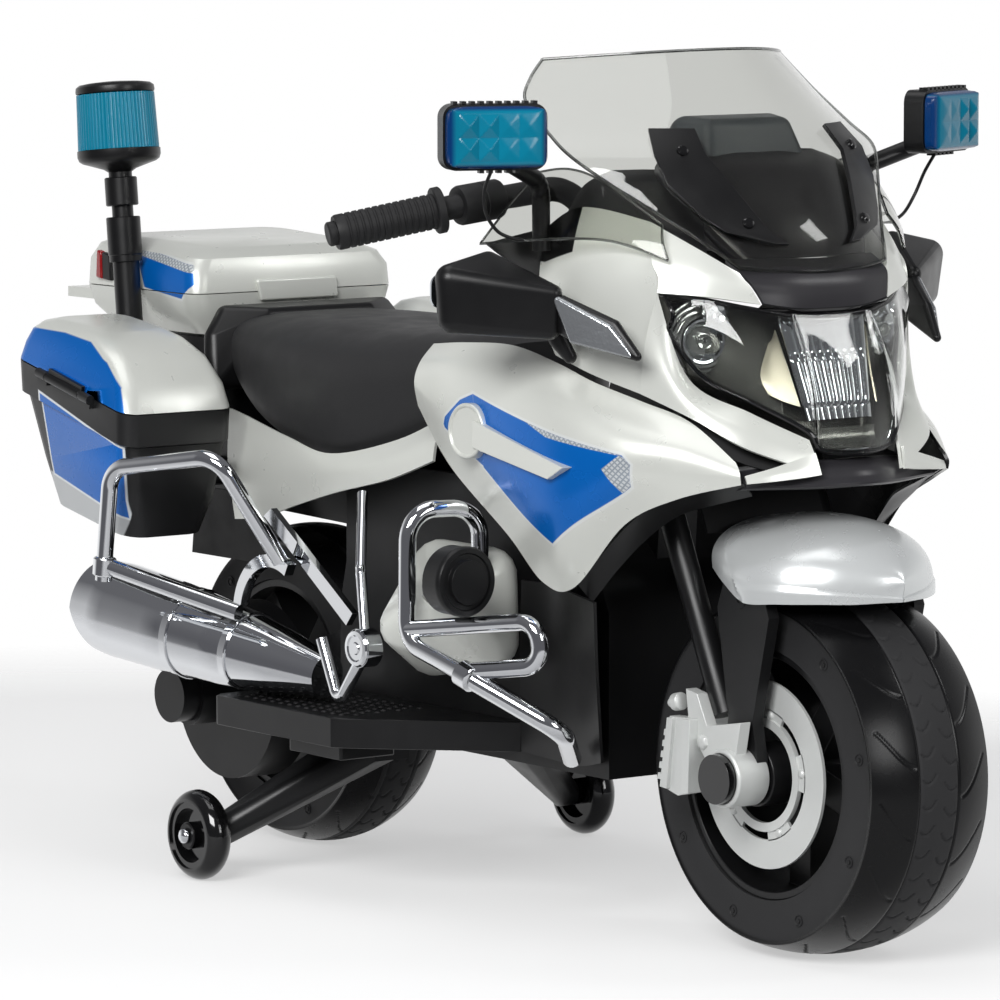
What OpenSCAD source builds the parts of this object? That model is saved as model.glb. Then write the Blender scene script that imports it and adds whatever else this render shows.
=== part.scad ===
// Child's battery-driven ride-on patrol motorcycle with stabiliser wheels.
// +X is forward, +Y is the rider's left, +Z is up, and the floor is Z = 0.

/* [Wheels] */
// Distance between the front and rear axles
wheelbase = 776; // [760:1:800]
// How far the middle between the axles lies ahead of the origin
axle_mid_x = 77; // [60:1:90]
// Radius of the front tyre at its crown
front_tyre_r = 165; // [158:1:168]
// Width of the front tyre
front_tyre_w = 132; // [124:1:136]
// Radius of the rear tyre at its crown
rear_tyre_r = 157; // [150:1:160]
// Width of the rear tyre
rear_tyre_w = 96; // [88:1:100]
// How far a tyre's shoulder lies below its crown
tyre_crown_drop = 14; // [8:1:18]
// Wall of the hollow tyres
tyre_wall = 7; // [5:0.5:9]
// Height of a tyre's sidewall above its bead
tyre_sidewall = 53; // [46:1:56]
// Wall of the wheel barrels
rim_wall = 7; // [5:0.5:9]
// Radius of both wheel axles
axle_r = 8; // [6:0.5:9]
// Outer radius of the wheel hubs
hub_r = 28; // [24:1:34]
// Number of spokes in a wheel
spoke_count = 5; // [3:1:8]
// Width of a wheel spoke
spoke_w = 30; // [20:1:36]
// Outer radius of a brake disc
disc_r = 96; // [88:1:98]
// Inner radius of a brake disc
disc_bore_r = 46; // [40:1:52]
// Thickness of a brake disc
disc_t = 3; // [2:0.5:4]
// Radius of a stabiliser wheel
stabiliser_r = 43; // [38:1:46]
// Width of a stabiliser wheel
stabiliser_w = 26; // [20:1:30]
// Distance between the middles of the stabiliser wheels
stabiliser_track = 458; // [440:1:470]
// Distance of the stabiliser axle ahead of the rear axle
stabiliser_lead = 129; // [115:1:140]
// Radius of a stabiliser axle pin
stabiliser_pin_r = 5; // [4:0.5:6]

/* [Steering] */
// Lean of the steering axis from the vertical
rake = 25; // [23:0.5:27]
// How far the front axle lies ahead of the steering axis at axle height
axle_lead = 30; // [24:1:34]
// Radius of the steering stem
stem_r = 14; // [11:0.5:16]
// Wall of the steering head tube
head_wall = 11; // [8:1:14]
// Radius of a fork tube
fork_tube_r = 12; // [9:0.5:13]
// Distance of a fork leg from the middle plane
fork_leg_y = 83; // [81:0.5:85]
// Thickness of a fork blade
fork_blade_t = 12; // [9:0.5:13]
// Radius of the handlebar tube
bar_r = 11; // [9:0.5:12]
// Outer radius of the grips
grip_r = 16; // [14:0.5:17]
// Length of the throttle grip
grip_len = 100; // [90:1:108]
// Radius of the grip's end collar
grip_flange_r = 21; // [18:0.5:23]
// Radius of the start button
button_r = 6; // [4:0.5:7]

/* [Panels] */
// Wall of the silver fairing panels
panel_t = 3; // [2:0.25:3.5]
// Thickness of the clear windscreen
screen_t = 3; // [2:0.25:4]
// Thickness of the wing deflectors
deflector_t = 2; // [1.5:0.25:2.5]
// Thickness of the headlight lens
lens_t = 2.5; // [1.5:0.25:3]
// Wall of the seat shell
seat_wall = 6; // [4:0.5:8]
// Wall of the mudguard
mudguard_t = 3.5; // [2.5:0.25:4.5]
// Half width of the moulded tub
tub_hw = 95; // [90:1:97]
// Wall of the moulded tub
tub_wall = 8; // [5:0.5:10]
// Thickness of the footboards
footboard_t = 28; // [22:1:32]
// Height of the footboards' tread above the floor
footboard_z = 178; // [172:1:182]

/* [Luggage] */
// Wall of the pannier boxes and lids
case_wall = 3.5; // [2.5:0.25:4.5]
// Gap that parts a lid from its box
lid_gap = 1; // [0.6:0.1:1.6]
// Radius of the hinge pins of the lids
hinge_pin_r = 2.5; // [2:0.25:3]
// Half width of the top case
top_case_hw = 121; // [112:1:124]
// Radius of the beacon mast's outer tube
mast_r = 13; // [11:0.5:13]
// Radius of the beacon mast's sliding tube
mast_inner_r = 10.5; // [8:0.5:10.5]
// Radius of the beacon lens
beacon_r = 38; // [32:1:40]
// Height of the beacon lens
beacon_h = 52; // [44:1:58]
// Length of the mast's slide
mast_travel = 60; // [40:5:70]

/* [Tubes and drive] */
// Radius of the chrome guard tubes
guard_r = 8; // [6:0.5:9]
// Bend radius of the guard tubes
guard_bend = 26; // [20:1:30]
// Module of the drive gears
gear_module = 1.25; // [1:0.05:1.3]
// Teeth of the wheel gear
wheel_teeth = 48; // [44:2:50]
// Teeth of the idler
idler_teeth = 24; // [20:2:26]
// Teeth of the motor pinion
pinion_teeth = 12; // [12:1:13]
// Width of the gears
gear_w = 12; // [8:1:14]
// Inner radius of the gear case
gear_case_r = 82; // [80:1:86]
// Length of the battery
battery_l = 150; // [120:5:170]
// Width of the battery
battery_w = 66; // [50:2:80]
// Height of the battery
battery_h = 95; // [80:5:105]

/* [Fits] */
// Radial running clearance of shafts and pins
run_gap = 0.08; // [0.04:0.01:0.1]
// Gap between pieces that only lie close together
part_gap = 0.6; // [0.4:0.1:1]

/* [Hidden] */
$fn = 96;

black = "#232324";
silver = "#cdcfcf";
chrome = "#e8e8ea";
clear = "#dfe6ea80";
teal = "#0a80a5";
rubber = "#1a1a1b";

// Axles and the shifts that carry the front and the rear pieces with them
drawn_front = [465, 0, 165];
drawn_rear = [-311, 0, 157];
front_axle = [axle_mid_x + wheelbase / 2, 0, front_tyre_r];
rear_axle_at = [axle_mid_x - wheelbase / 2, 0, rear_tyre_r];
front_shift = front_axle - drawn_front;
rear_shift = rear_axle_at - drawn_rear;

module at_front() { translate(front_shift) children(); }
module at_rear() { translate(rear_shift) children(); }
module along_front() { translate([front_shift.x, 0, 0]) children(); }
module along_rear() { translate([rear_shift.x, 0, 0]) children(); }
module both_sides() {
    children();
    mirror([0, 1, 0]) children();
}

// Smooth curves and grids through a few control points
function spline(a, b, c, d, t) =
    (2 * b + (c - a) * t + (2 * a - 5 * b + 4 * c - d) * t ^ 2 + (3 * b - a - 3 * c + d) * t ^ 3) / 2;
function smooth_row(p, n) = [
    for (i = [0:len(p) - 2]) for (k = [0:n - 1])
        spline(p[max(i - 1, 0)], p[i], p[i + 1], p[min(i + 2, len(p) - 1)], k / n),
    p[len(p) - 1]];
function smooth_ring(p, n) = [
    for (i = [0:len(p) - 1]) for (k = [0:n - 1])
        spline(p[(i + len(p) - 1) % len(p)], p[i], p[(i + 1) % len(p)], p[(i + 2) % len(p)], k / n)];
function column(g, j) = [for (r = g) r[j]];
function turned(g) = [for (j = [0:len(g[0]) - 1]) column(g, j)];
function smooth_grid(g, nu, nv) =
    turned([for (c = turned([for (r = g) smooth_row(r, nv)])) smooth_row(c, nu)]);
function grid_normal(g, i, j) =
    let (u = g[min(i + 1, len(g) - 1)][j] - g[max(i - 1, 0)][j],
         v = g[i][min(j + 1, len(g[0]) - 1)] - g[i][max(j - 1, 0)],
         n = cross(u, v))
    n / norm(n);
function grid_offset(g, d) = [
    for (i = [0:len(g) - 1]) [for (j = [0:len(g[0]) - 1]) g[i][j] + d * grid_normal(g, i, j)]];

// Closed solids from lists of points, with their faces turned outwards
function fan_volumes(p, f) = [for (k = [1:len(f) - 2]) cross(p[f[0]], p[f[k]]) * p[f[k + 1]]];
function total(v) = v * [for (x = v) 1];
function reversed(f) = [for (k = [len(f) - 1:-1:0]) f[k]];
function outward(p, faces) =
    total([for (f = faces) each fan_volumes(p, f)]) > 0 ? [for (f = faces) reversed(f)] : faces;
module solid(p, faces) { polyhedron(p, outward(p, faces), convexity = 8); }

// A solid skinned over a row of closed rings
module loft(rings) {
    n = len(rings[0]);
    last = (len(rings) - 1) * n;
    p = [for (r = rings) each r];
    sides = [for (i = [0:len(rings) - 2]) for (j = [0:n - 1])
        let (a = i * n + j, b = i * n + (j + 1) % n) each [[a, b, b + n], [a, b + n, a + n]]];
    solid(p, concat(sides, [[for (j = [n - 1:-1:0]) j], [for (j = [0:n - 1]) last + j]]));
}

// A solid between two grids of points of the same size
module slab(g, h) {
    r = len(g) - 1;
    c = len(g[0]) - 1;
    n = c + 1;
    m = (r + 1) * n;
    p = concat([for (row = g) each row], [for (row = h) each row]);
    tops = [for (i = [0:r - 1]) for (j = [0:c - 1]) let (a = i * n + j)
        each [[a, a + 1, a + n + 1], [a, a + n + 1, a + n]]];
    edge = concat([for (j = [0:c]) j], [for (i = [1:r]) i * n + c],
        [for (j = [c - 1:-1:0]) r * n + j], [for (i = [r - 1:-1:1]) i * n]);
    k = len(edge);
    rims = [for (i = [0:k - 1]) let (a = edge[i], b = edge[(i + 1) % k])
        each [[b, a, a + m], [b, a + m, b + m]]];
    solid(p, concat(tops, [for (f = tops) reversed(f) + [m, m, m]], rims));
}
module sheet(g, d) { slab(g, grid_offset(g, d)); }

// Straight rods, and bent tubes made of short rods with a slightly larger ball at each kink
kink = 23;
ball_swell = 1.035;
function unit(v) = v / norm(v);
module rod(a, b, r) {
    d = b - a;
    translate(a) rotate([0, acos(d.z / norm(d)), atan2(d.y, d.x)]) cylinder(h = norm(d), r = r);
}
function turn_at(a, b, c) = acos(unit(b - a) * unit(c - b));
function bend_points(a, b, c, bend) =
    let (u = unit(b - a), w = unit(c - b), turn = turn_at(a, b, c), n = unit(w - (w * u) * u),
         o = b - u * bend * tan(turn / 2) + n * bend, m = ceil(turn / kink))
    [for (k = [0:m]) o + bend * (u * sin(turn * k / m) - n * cos(turn * k / m))];
function bent(path, bend) = concat([path[0]],
    [for (i = [1:len(path) - 2]) each bend_points(path[i - 1], path[i], path[i + 1], bend)],
    [path[len(path) - 1]]);
module pipe(path, r, bend) {
    p = bent(path, bend);
    for (i = [0:len(p) - 2])
        rod(p[i], p[i + 1], r);
    for (i = [1:len(p) - 2])
        translate(p[i]) sphere(r * ball_swell);
}

// Many-sided tubes swept along a route, whose rings are carried along without twist
function carry(side, t) = unit(side - (side * t) * t);
function carried(t, i, side) =
    i == len(t) ? [] : let (c = carry(side, t[i])) concat([c], carried(t, i + 1, c));
function swept(p, r, n) =
    let (t = [for (i = [0:len(p) - 1]) unit(p[min(i + 1, len(p) - 1)] - p[max(i - 1, 0)])],
         side = carried(t, 0, cross(t[0], [0.6, 0.3, 0.74])))
    [for (i = [0:len(p) - 1]) let (up = cross(t[i], side[i]))
        [for (k = [0:n - 1]) p[i] + r * (side[i] * cos(360 * k / n) + up * sin(360 * k / n))]];
module tube(path, r, bend) { loft(swept(bent(path, bend), r, 12)); }
module wire(path, r, per_span) { loft(swept(smooth_row(path, per_span), r, 8)); }

// A plate drawn in X and Z, from y0 towards y1
module side_plate(y0, y1) {
    translate([0, max(y0, y1), 0]) rotate([90, 0, 0]) linear_extrude(abs(y1 - y0)) children();
}
module disc_y(c, r, y0, y1) {
    translate([c.x, max(y0, y1), c.z]) rotate([90, 0, 0]) cylinder(h = abs(y1 - y0), r = r);
}
// A rounded plate, drawn across Y and Z, that is t thick along X
module round_plate(w, h, r, t) {
    rotate([90, 0, 90]) linear_extrude(t) round_rect(w, h, r);
}
module round_rect(w, h, r) {
    square([w - 2 * r, h], center = true);
    square([w, h - 2 * r], center = true);
    for (sx = [-1, 1]) for (sy = [-1, 1])
        translate([sx * (w / 2 - r), sy * (h / 2 - r)]) circle(r, $fn = 32);
}

// Wheels
tyre_gap = 0.2;
front_bead_r = front_tyre_r - tyre_sidewall;
rear_bead_r = rear_tyre_r - tyre_sidewall;
hub_gap = 2;
disc_inset = 1;

module tyre_section(r, w, bead_r) {
    drop = tyre_crown_drop;
    crown = ((w / 2) ^ 2 + drop ^ 2) / (2 * drop);
    difference() {
        intersection() {
            translate([r - crown, 0]) circle(crown, $fn = 180);
            translate([bead_r, -w / 2]) square([r, w]);
        }
        intersection() {
            translate([r - crown, 0]) circle(crown - tyre_wall, $fn = 180);
            translate([0, tyre_wall - w / 2]) square([r, w - 2 * tyre_wall]);
        }
    }
}
module tyre(c, r, w, bead_r) {
    translate(c) rotate([90, 0, 0]) rotate_extrude() tyre_section(r, w, bead_r);
}
rim_lip = 4;
web_hw = 22;
module rim(c, w, bead_r, hub_y0, hub_y1) {
    barrel_r = bead_r - tyre_gap;
    difference() {
        union() {
            translate(c) rotate([90, 0, 0]) rotate_extrude()
                translate([barrel_r - rim_wall, rim_lip - w / 2]) square([rim_wall, w - 2 * rim_lip]);
            disc_y(c, hub_r, hub_y0, hub_y1);
            for (k = [0:spoke_count - 1])
                translate(c) rotate([0, 360 * k / spoke_count + 18, 0])
                    translate([0, -web_hw, -spoke_w / 2])
                        cube([barrel_r - rim_wall / 2, 2 * web_hw, spoke_w]);
        }
        disc_y(c, axle_r + run_gap, hub_y0 - 1, hub_y1 + 1);
    }
}

module front_tyre() {
    color(rubber) tyre(front_axle, front_tyre_r, front_tyre_w, front_bead_r);
}
module front_rim() {
    h = fork_leg_y - fork_blade_t / 2 - hub_gap;
    color(black) rim(front_axle, front_tyre_w, front_bead_r, -h, h);
}
slot_r = 62;
slot_w = 12;
slot_arc = 46;
module brake_discs() {
    y1 = front_tyre_w / 2 - disc_inset;
    color(silver) both_sides() translate([front_axle.x, -y1, front_axle.z]) rotate([-90, 0, 0])
        difference() {
            cylinder(h = disc_t, r = disc_r);
            translate([0, 0, -1]) cylinder(h = disc_t + 2, r = disc_bore_r);
            for (k = [0:4])
                rotate(72 * k) translate([0, 0, -1]) rotate_extrude(angle = slot_arc)
                    translate([slot_r, 0]) square([slot_w, disc_t + 2]);
        }
}
module rear_tyre() {
    color(rubber) tyre(rear_axle_at, rear_tyre_r, rear_tyre_w, rear_bead_r);
}

// Rear drive: the wheel gear sits on the hub's sleeve, inside the gear case
arm_t = 10;
arm_gap = 8;
arm_y = rear_tyre_w / 2 + arm_gap;
case_y0 = arm_y + arm_t + part_gap;
case_depth = 44;
case_skin = 4;
case_y1 = case_y0 + case_depth;
gear_y0 = case_y0 + 12;
sleeve_r = 16;
addendum = 0.8;
dedendum = 1.1;
backlash = 0.16;
function involute(r, base) = let (a = acos(min(1, base / r))) tan(a) * 180 / PI - a;
function tooth_half(r, pitch, base, n) =
    90 / n * (1 - backlash) + involute(pitch, base) - involute(max(r, base), base);
module gear_2d(n) {
    pitch = gear_module * n / 2;
    base = pitch * cos(20);
    root = pitch - dedendum * gear_module;
    tip = pitch + addendum * gear_module;
    radii = [for (k = [0:4]) root + (tip - root) * k / 4];
    polygon([for (i = [0:n - 1]) each concat(
        [for (r = radii) r * [cos(360 * i / n - tooth_half(r, pitch, base, n)),
                              sin(360 * i / n - tooth_half(r, pitch, base, n))]],
        [for (r = reversed(radii)) r * [cos(360 * i / n + tooth_half(r, pitch, base, n)),
                                        sin(360 * i / n + tooth_half(r, pitch, base, n))]])]);
}
idler_dir = 45;
pinion_dir = 10;
idler_turn = idler_dir + 180 - 180 / idler_teeth + idler_dir * wheel_teeth / idler_teeth;
pinion_turn = pinion_dir + 180 - 180 / pinion_teeth
    - (idler_turn - pinion_dir) * idler_teeth / pinion_teeth;
idler_at = rear_axle_at
    + gear_module * (wheel_teeth + idler_teeth) / 2 * [cos(idler_dir), 0, sin(idler_dir)];
pinion_at = idler_at
    + gear_module * (idler_teeth + pinion_teeth) / 2 * [cos(pinion_dir), 0, sin(pinion_dir)];
idler_pin_r = 4;
motor_shaft_r = 2.5;
module gear(c, n, turn) {
    translate([c.x, -gear_y0, c.z]) rotate([90, 0, 0]) rotate(turn) linear_extrude(gear_w) gear_2d(n);
}
module rear_rim() {
    color(black) difference() {
        union() {
            rim(rear_axle_at, rear_tyre_w, rear_bead_r, -arm_y + 2, arm_y - 2);
            disc_y(rear_axle_at, sleeve_r, -gear_y0 - gear_w, 0);
            gear(rear_axle_at, wheel_teeth, 0);
        }
        disc_y(rear_axle_at, axle_r + run_gap, -gear_y0 - gear_w - 1, arm_y + 1);
    }
}
module idler_gear() {
    color("#e8e4d8") difference() {
        gear(idler_at, idler_teeth, idler_turn);
        disc_y(idler_at, idler_pin_r + run_gap, -gear_y0 + 1, -gear_y0 - gear_w - 1);
    }
}
module motor_pinion() {
    color("#c8a050") difference() {
        gear(pinion_at, pinion_teeth, pinion_turn);
        disc_y(pinion_at, motor_shaft_r + run_gap, -gear_y0 + 1, -gear_y0 - gear_w - 1);
    }
}
motor_r = 14;
motor_l = 30;
module drive_motor() {
    color("#8a8c90") {
        disc_y(pinion_at, motor_r, -case_y1 - part_gap, -case_y1 - part_gap - motor_l);
        disc_y(pinion_at, motor_shaft_r, -gear_y0 - 1, -case_y1 - part_gap - 1);
    }
}
neck_r = 30;
neck_l = 46;
cap_r = 26;
cap_l = 20;
module gear_case() {
    neck_y = case_y1 + neck_l;
    color(black) difference() {
        union() {
            difference() {
                disc_y(rear_axle_at, gear_case_r + case_skin, -case_y0, -case_y1);
                disc_y(rear_axle_at, gear_case_r, -case_y0 + 1, -case_y1 + case_skin);
            }
            disc_y(rear_axle_at, neck_r, -case_y1 + 1, -neck_y);
            disc_y(rear_axle_at, cap_r, -neck_y + 1, -neck_y - cap_l);
            disc_y(idler_at, idler_pin_r, -gear_y0 + 1, -case_y1 + 1);
        }
        disc_y(rear_axle_at, axle_r, -case_y0, -neck_y);
        disc_y(pinion_at, motor_shaft_r + 1, -case_y0, -case_y1 - 1);
    }
}
axle_cap_r = 22;
axle_cap_l = 8;
module rear_axle() {
    color("#b8bcc0") disc_y(rear_axle_at, axle_r, arm_y + arm_t + 6, -case_y1 - neck_l + 2);
}

// Stabiliser wheels on brackets below the tub
stabiliser_at = [rear_axle_at.x + stabiliser_lead, stabiliser_track / 2, stabiliser_r];
bracket_boss_r = 13;
bracket_gap = 1.5;
bracket_y1 = stabiliser_track / 2 - stabiliser_w / 2 - bracket_gap;
bracket_y0 = bracket_y1 - 16;
tub_z0 = 140;
module stabiliser_brackets() {
    foot_x = tub_x0 + 6;
    color(black) both_sides() {
        hull() {
            disc_y([stabiliser_at.x, 0, stabiliser_at.z], bracket_boss_r, -bracket_y0, -bracket_y1,
                $fn = 32);
            translate([foot_x, -92, 112]) cube([46, 22, tub_z0 - part_gap - 112]);
        }
        translate([foot_x, -92, 112]) cube([46, 40, tub_z0 - part_gap - 112]);
        disc_y([stabiliser_at.x, 0, stabiliser_at.z], stabiliser_pin_r, -bracket_y0,
            -stabiliser_track / 2 - stabiliser_w / 2 - 4);
    }
}
module stabiliser_wheel(side) {
    tread = 9;
    w = stabiliser_w;
    color(rubber) translate([stabiliser_at.x, side * stabiliser_at.y, stabiliser_at.z])
        rotate([90, 0, 0]) rotate_extrude() difference() {
            union() {
                translate([stabiliser_r - tread - 8, -w / 2 + 2]) square([8, w - 4]);
                intersection() {
                    translate([stabiliser_r - tread - 5, 0]) circle(tread + 5, $fn = 64);
                    translate([stabiliser_r - tread - 2, -w / 2]) square([tread + 2, w]);
                }
                translate([0, -3]) square([stabiliser_r - tread - 4, 6]);
                translate([0, -w / 2]) square([bracket_boss_r, w]);
            }
            translate([-1, -w]) square([stabiliser_pin_r + run_gap + 1, 2 * w]);
        }
}
module stabiliser_wheel_right() { stabiliser_wheel(-1); }
module stabiliser_wheel_left() { stabiliser_wheel(1); }

// Steering: everything here turns about the raked head axis
axis_foot = [front_axle.x - axle_lead, 0, front_axle.z];
leg_x = (axle_lead - 5) * cos(rake);
head_s0 = 278;
head_s1 = 455;
yoke_t = 18;
leg_s0 = 46;
lower_yoke_s = head_s0 - yoke_t - part_gap;
upper_yoke_s = head_s1 + part_gap;
module on_axis() { translate(axis_foot) rotate([0, -rake, 0]) children(); }
module yoke_2d(leg_y) {
    circle(stem_r + 9);
    for (s = [-1, 1])
        translate([leg_x, s * leg_y]) circle(fork_tube_r + 6);
    polygon([[-16, -20], [leg_x - 14, -leg_y], [leg_x + 14, -leg_y], [18, 0],
        [leg_x + 14, leg_y], [leg_x - 14, leg_y], [-16, 20]]);
}
upper_clamp_y = 40;
module fork() {
    blade_y = fork_leg_y - fork_blade_t / 2;
    color(black) difference() {
        union() {
            on_axis() {
                translate([0, 0, lower_yoke_s])
                    cylinder(h = upper_yoke_s + yoke_t - lower_yoke_s, r = stem_r);
                translate([0, 0, lower_yoke_s]) linear_extrude(yoke_t) yoke_2d(fork_leg_y);
                translate([0, 0, upper_yoke_s]) linear_extrude(yoke_t) yoke_2d(upper_clamp_y);
                for (s = [-1, 1])
                    translate([leg_x, s * fork_leg_y, leg_s0])
                        cylinder(h = lower_yoke_s + 6 - leg_s0, r = fork_tube_r);
            }
            at_front() both_sides() side_plate(-blade_y, -blade_y - fork_blade_t)
                polygon([[446, 148], [484, 148], [487, 182], [480, 215], [502, 308], [492, 334],
                    [440, 338], [430, 312], [446, 215], [441, 182]]);
        }
        disc_y(front_axle, axle_r, -fork_leg_y - 20, fork_leg_y + 20);
    }
}
caliper_y0 = fork_leg_y + fork_blade_t / 2 + part_gap;
caliper_t = 20;
module brake_calipers() {
    color(silver) difference() {
        both_sides() {
            disc_y(front_axle, 25, -caliper_y0, -caliper_y0 - caliper_t - 2);
            at_front() side_plate(-caliper_y0, -caliper_y0 - caliper_t)
                polygon([[446, 150], [486, 150], [486, 186], [466, 200], [454, 236], [428, 244],
                    [404, 222], [404, 176], [424, 160]]);
        }
        disc_y(front_axle, axle_r, -caliper_y0 - 40, caliper_y0 + 40);
        on_axis() for (s = [-1, 1])
            translate([leg_x, s * fork_leg_y, leg_s0 - 6])
                cylinder(h = lower_yoke_s, r = fork_tube_r + part_gap);
    }
}
module front_axle() {
    y1 = caliper_y0 + caliper_t + 2 + part_gap;
    color("#2c2d2f") {
        disc_y(front_axle, axle_r, -y1 - 1, y1 + 1);
        for (s = [-1, 1])
            disc_y(front_axle, axle_cap_r, s * y1, s * (y1 + axle_cap_l));
    }
}
// Mudguard stations: x, half width, height of the edge, height of the crown
mudguard_stations = [[400, 79, 343, 386], [440, 94, 334, 391], [478, 98, 319, 391],
    [514, 91, 320, 385], [546, 72, 323, 374], [570, 46, 326, 362], [586, 18, 329, 349]];
function arch(s, n) = [for (k = [-n:n]) let (a = k / n)
    [s[0] + (1 - a * a) * 3, s[1] * sin(90 * a), s[2] + (s[3] - s[2]) * (cos(90 * a) ^ 0.75)]];
module front_mudguard() {
    g = turned([for (c = turned([for (s = mudguard_stations) arch(s, 8)])) smooth_row(c, 3)]);
    color(silver) at_front() sheet(g, -mudguard_t);
}

// Handlebar: two bent tubes on the upper yoke, with switch housings
bar_end = [158, -318, 634];
bar_flange = [203, -206, 658];
bar_elbow = [214, -96, 672];
bar_bend = 30;
bar_dir = unit(bar_end - bar_flange);
switch_dir = unit(bar_flange - bar_elbow);
bar_foot = axis_foot + [0, -upper_clamp_y, 0]
    + (upper_yoke_s + yoke_t) * [-sin(rake), 0, cos(rake)] + leg_x * [cos(rake), 0, sin(rake)];
switch_l = 44;
switch_r = 18;
elbow = bar_elbow + front_shift;
flange = bar_flange + front_shift;
grip_start = flange + 14 * bar_dir;
module handlebar() {
    color(black) {
        both_sides() {
            tube([bar_foot, elbow, flange - 12 * switch_dir], bar_r, bar_bend);
            rod(flange - 24 * bar_dir, bar_end + front_shift, bar_r);
        }
        mirror([0, 1, 0]) {
            rod(grip_start, grip_start + grip_len * bar_dir, grip_r);
            rod(grip_start, grip_start + 8 * bar_dir, grip_flange_r);
        }
        difference() {
            both_sides() rod(flange - switch_l * switch_dir, flange, switch_r);
            rod(button_at, button_at + 8 * button_dir, button_r + run_gap);
        }
    }
}
module throttle_grip() {
    color(rubber) difference() {
        union() {
            rod(grip_start, grip_start + grip_len * bar_dir, grip_r);
            rod(grip_start, grip_start + 8 * bar_dir, grip_flange_r);
        }
        rod(grip_start - bar_dir, grip_start + (grip_len + 1) * bar_dir, bar_r + run_gap);
    }
}
// The start button sits in the right switch housing and faces the rider
button_travel = 2.5;
button_dir = [-1, 0, 0];
button_at = flange - switch_l / 2 * switch_dir + [5 - switch_r, 0, 0];
module start_button() {
    color("#b01818") rod(button_at + button_travel * button_dir,
        button_at + (button_travel + 9) * button_dir, button_r);
}

// Moulded tub with the battery bay, the head tube, the rear arms and the tail beam
tub_x0 = rear_shift.x - 138;
tub_x1 = front_shift.x + 282;
bay_x0 = tub_x0 + 20;
bay_x1 = tub_x1 - 154;
tub_z1 = 398;
tail_hw = 70;
tail_x0 = rear_shift.x - 466;
tail_z0 = 340;
arm_boss_r = 30;
peg_r = 9;
pegs = [[-380, 0, 370], [-294, 0, 370]];
socket_r = 4;
socket_at = [-50, 0, 348];
module main_frame() {
    gusset_hw = 22;
    color(black) difference() {
        union() {
            side_plate(-tub_hw, tub_hw)
                polygon([[tub_x1, tub_z0], [tub_x1, 290], [tub_x1 - 20, 330], [tub_x1 - 68, 372],
                    [tub_x1 - 132, tub_z1], [tub_x0 + 10, tub_z1], [tub_x0 + 10, 300],
                    [tub_x0, 260], [tub_x0, tub_z0]]);
            side_plate(-tail_hw, tail_hw)
                polygon([[tub_x0 + 11, 330], [tub_x0 + 11, tub_z1], [tail_x0, tub_z1],
                    [tail_x0, tail_z0 + rear_shift.z]]);
            side_plate(-gusset_hw, gusset_hw)
                polygon([[tub_x1 - 132, tub_z1 - 20], [tub_x1 - 68, 360], [tub_x1 - 24, 332],
                    [tub_x1 - 20, 385],
                    [axis_foot.x - 310 * sin(rake), axis_foot.z + 310 * cos(rake)],
                    [axis_foot.x - 450 * sin(rake), axis_foot.z + 450 * cos(rake)],
                    [tub_x1 - 77, 540]]);
            on_axis() translate([0, 0, head_s0])
                cylinder(h = head_s1 - head_s0, r = stem_r + head_wall);
            both_sides() {
                side_plate(-arm_y, -arm_y - arm_t) {
                    translate([rear_axle_at.x, rear_axle_at.z]) circle(arm_boss_r);
                    polygon([[rear_axle_at.x, rear_axle_at.z + arm_boss_r - 4],
                        [rear_axle_at.x, rear_axle_at.z - arm_boss_r + 4],
                        [tub_x0 + 1, 170], [tub_x0 + 1, 240]]);
                }
                for (p = pegs)
                    disc_y(p + [rear_shift.x, 0, 0], peg_r, -tail_hw + 1, -pannier_y0 + part_gap);
            }
        }
        side_plate(tub_wall - tub_hw, tub_hw - tub_wall)
            polygon([[bay_x0, tub_z0 + tub_wall], [tub_x1 - tub_wall, tub_z0 + tub_wall],
                [tub_x1 - tub_wall, 286], [tub_x1 - 28, 322], [tub_x1 - 74, 362],
                [bay_x1, tub_z1 - tub_wall - 4], [bay_x1, tub_z1 + 1], [bay_x0, tub_z1 + 1]]);
        translate([tail_x0 + 20, -tail_hw + tub_wall, tail_z0 - 30])
            cube([tub_x0 - tail_x0 - 30, 2 * (tail_hw - tub_wall), tub_z1 - tub_wall - tail_z0 + 30]);
        on_axis() translate([0, 0, head_s0 - 1])
            cylinder(h = head_s1 - head_s0 + 2, r = stem_r + run_gap);
        disc_y(rear_axle_at, axle_r, 0, arm_y + arm_t + 1);
        disc_y(rear_axle_at, sleeve_r + part_gap, 0, -arm_y - arm_t - 1);
        disc_y(socket_at, socket_r, tub_hw - tub_wall - 1, tub_hw + 1);
    }
}
module battery() {
    battery_x0 = (bay_x0 + bay_x1 - battery_l) / 2;
    color("#2b2c30") translate([battery_x0, -battery_w / 2, tub_z0 + tub_wall + part_gap]) {
        cube([battery_l, battery_w, battery_h]);
        for (y = [14, battery_w - 24])
            translate([12, y, battery_h]) cube([8, 10, 6]);
    }
}

// Lower fairing: a skirt on each side between the footboard and the front wheel
skirt_rows = [
    [[158, -101, 310], [158, -103, 230], [158, -101, 152]],
    [[215, -111, 312], [212, -109, 230], [208, -102, 150]],
    [[280, -136, 312], [268, -122, 235], [252, -105, 150]],
    [[338, -156, 311], [318, -138, 245], [292, -112, 158]]];
module belly_fairing() {
    color(black) along_front() both_sides() sheet(smooth_grid(skirt_rows, 3, 3), panel_t);
}

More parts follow.
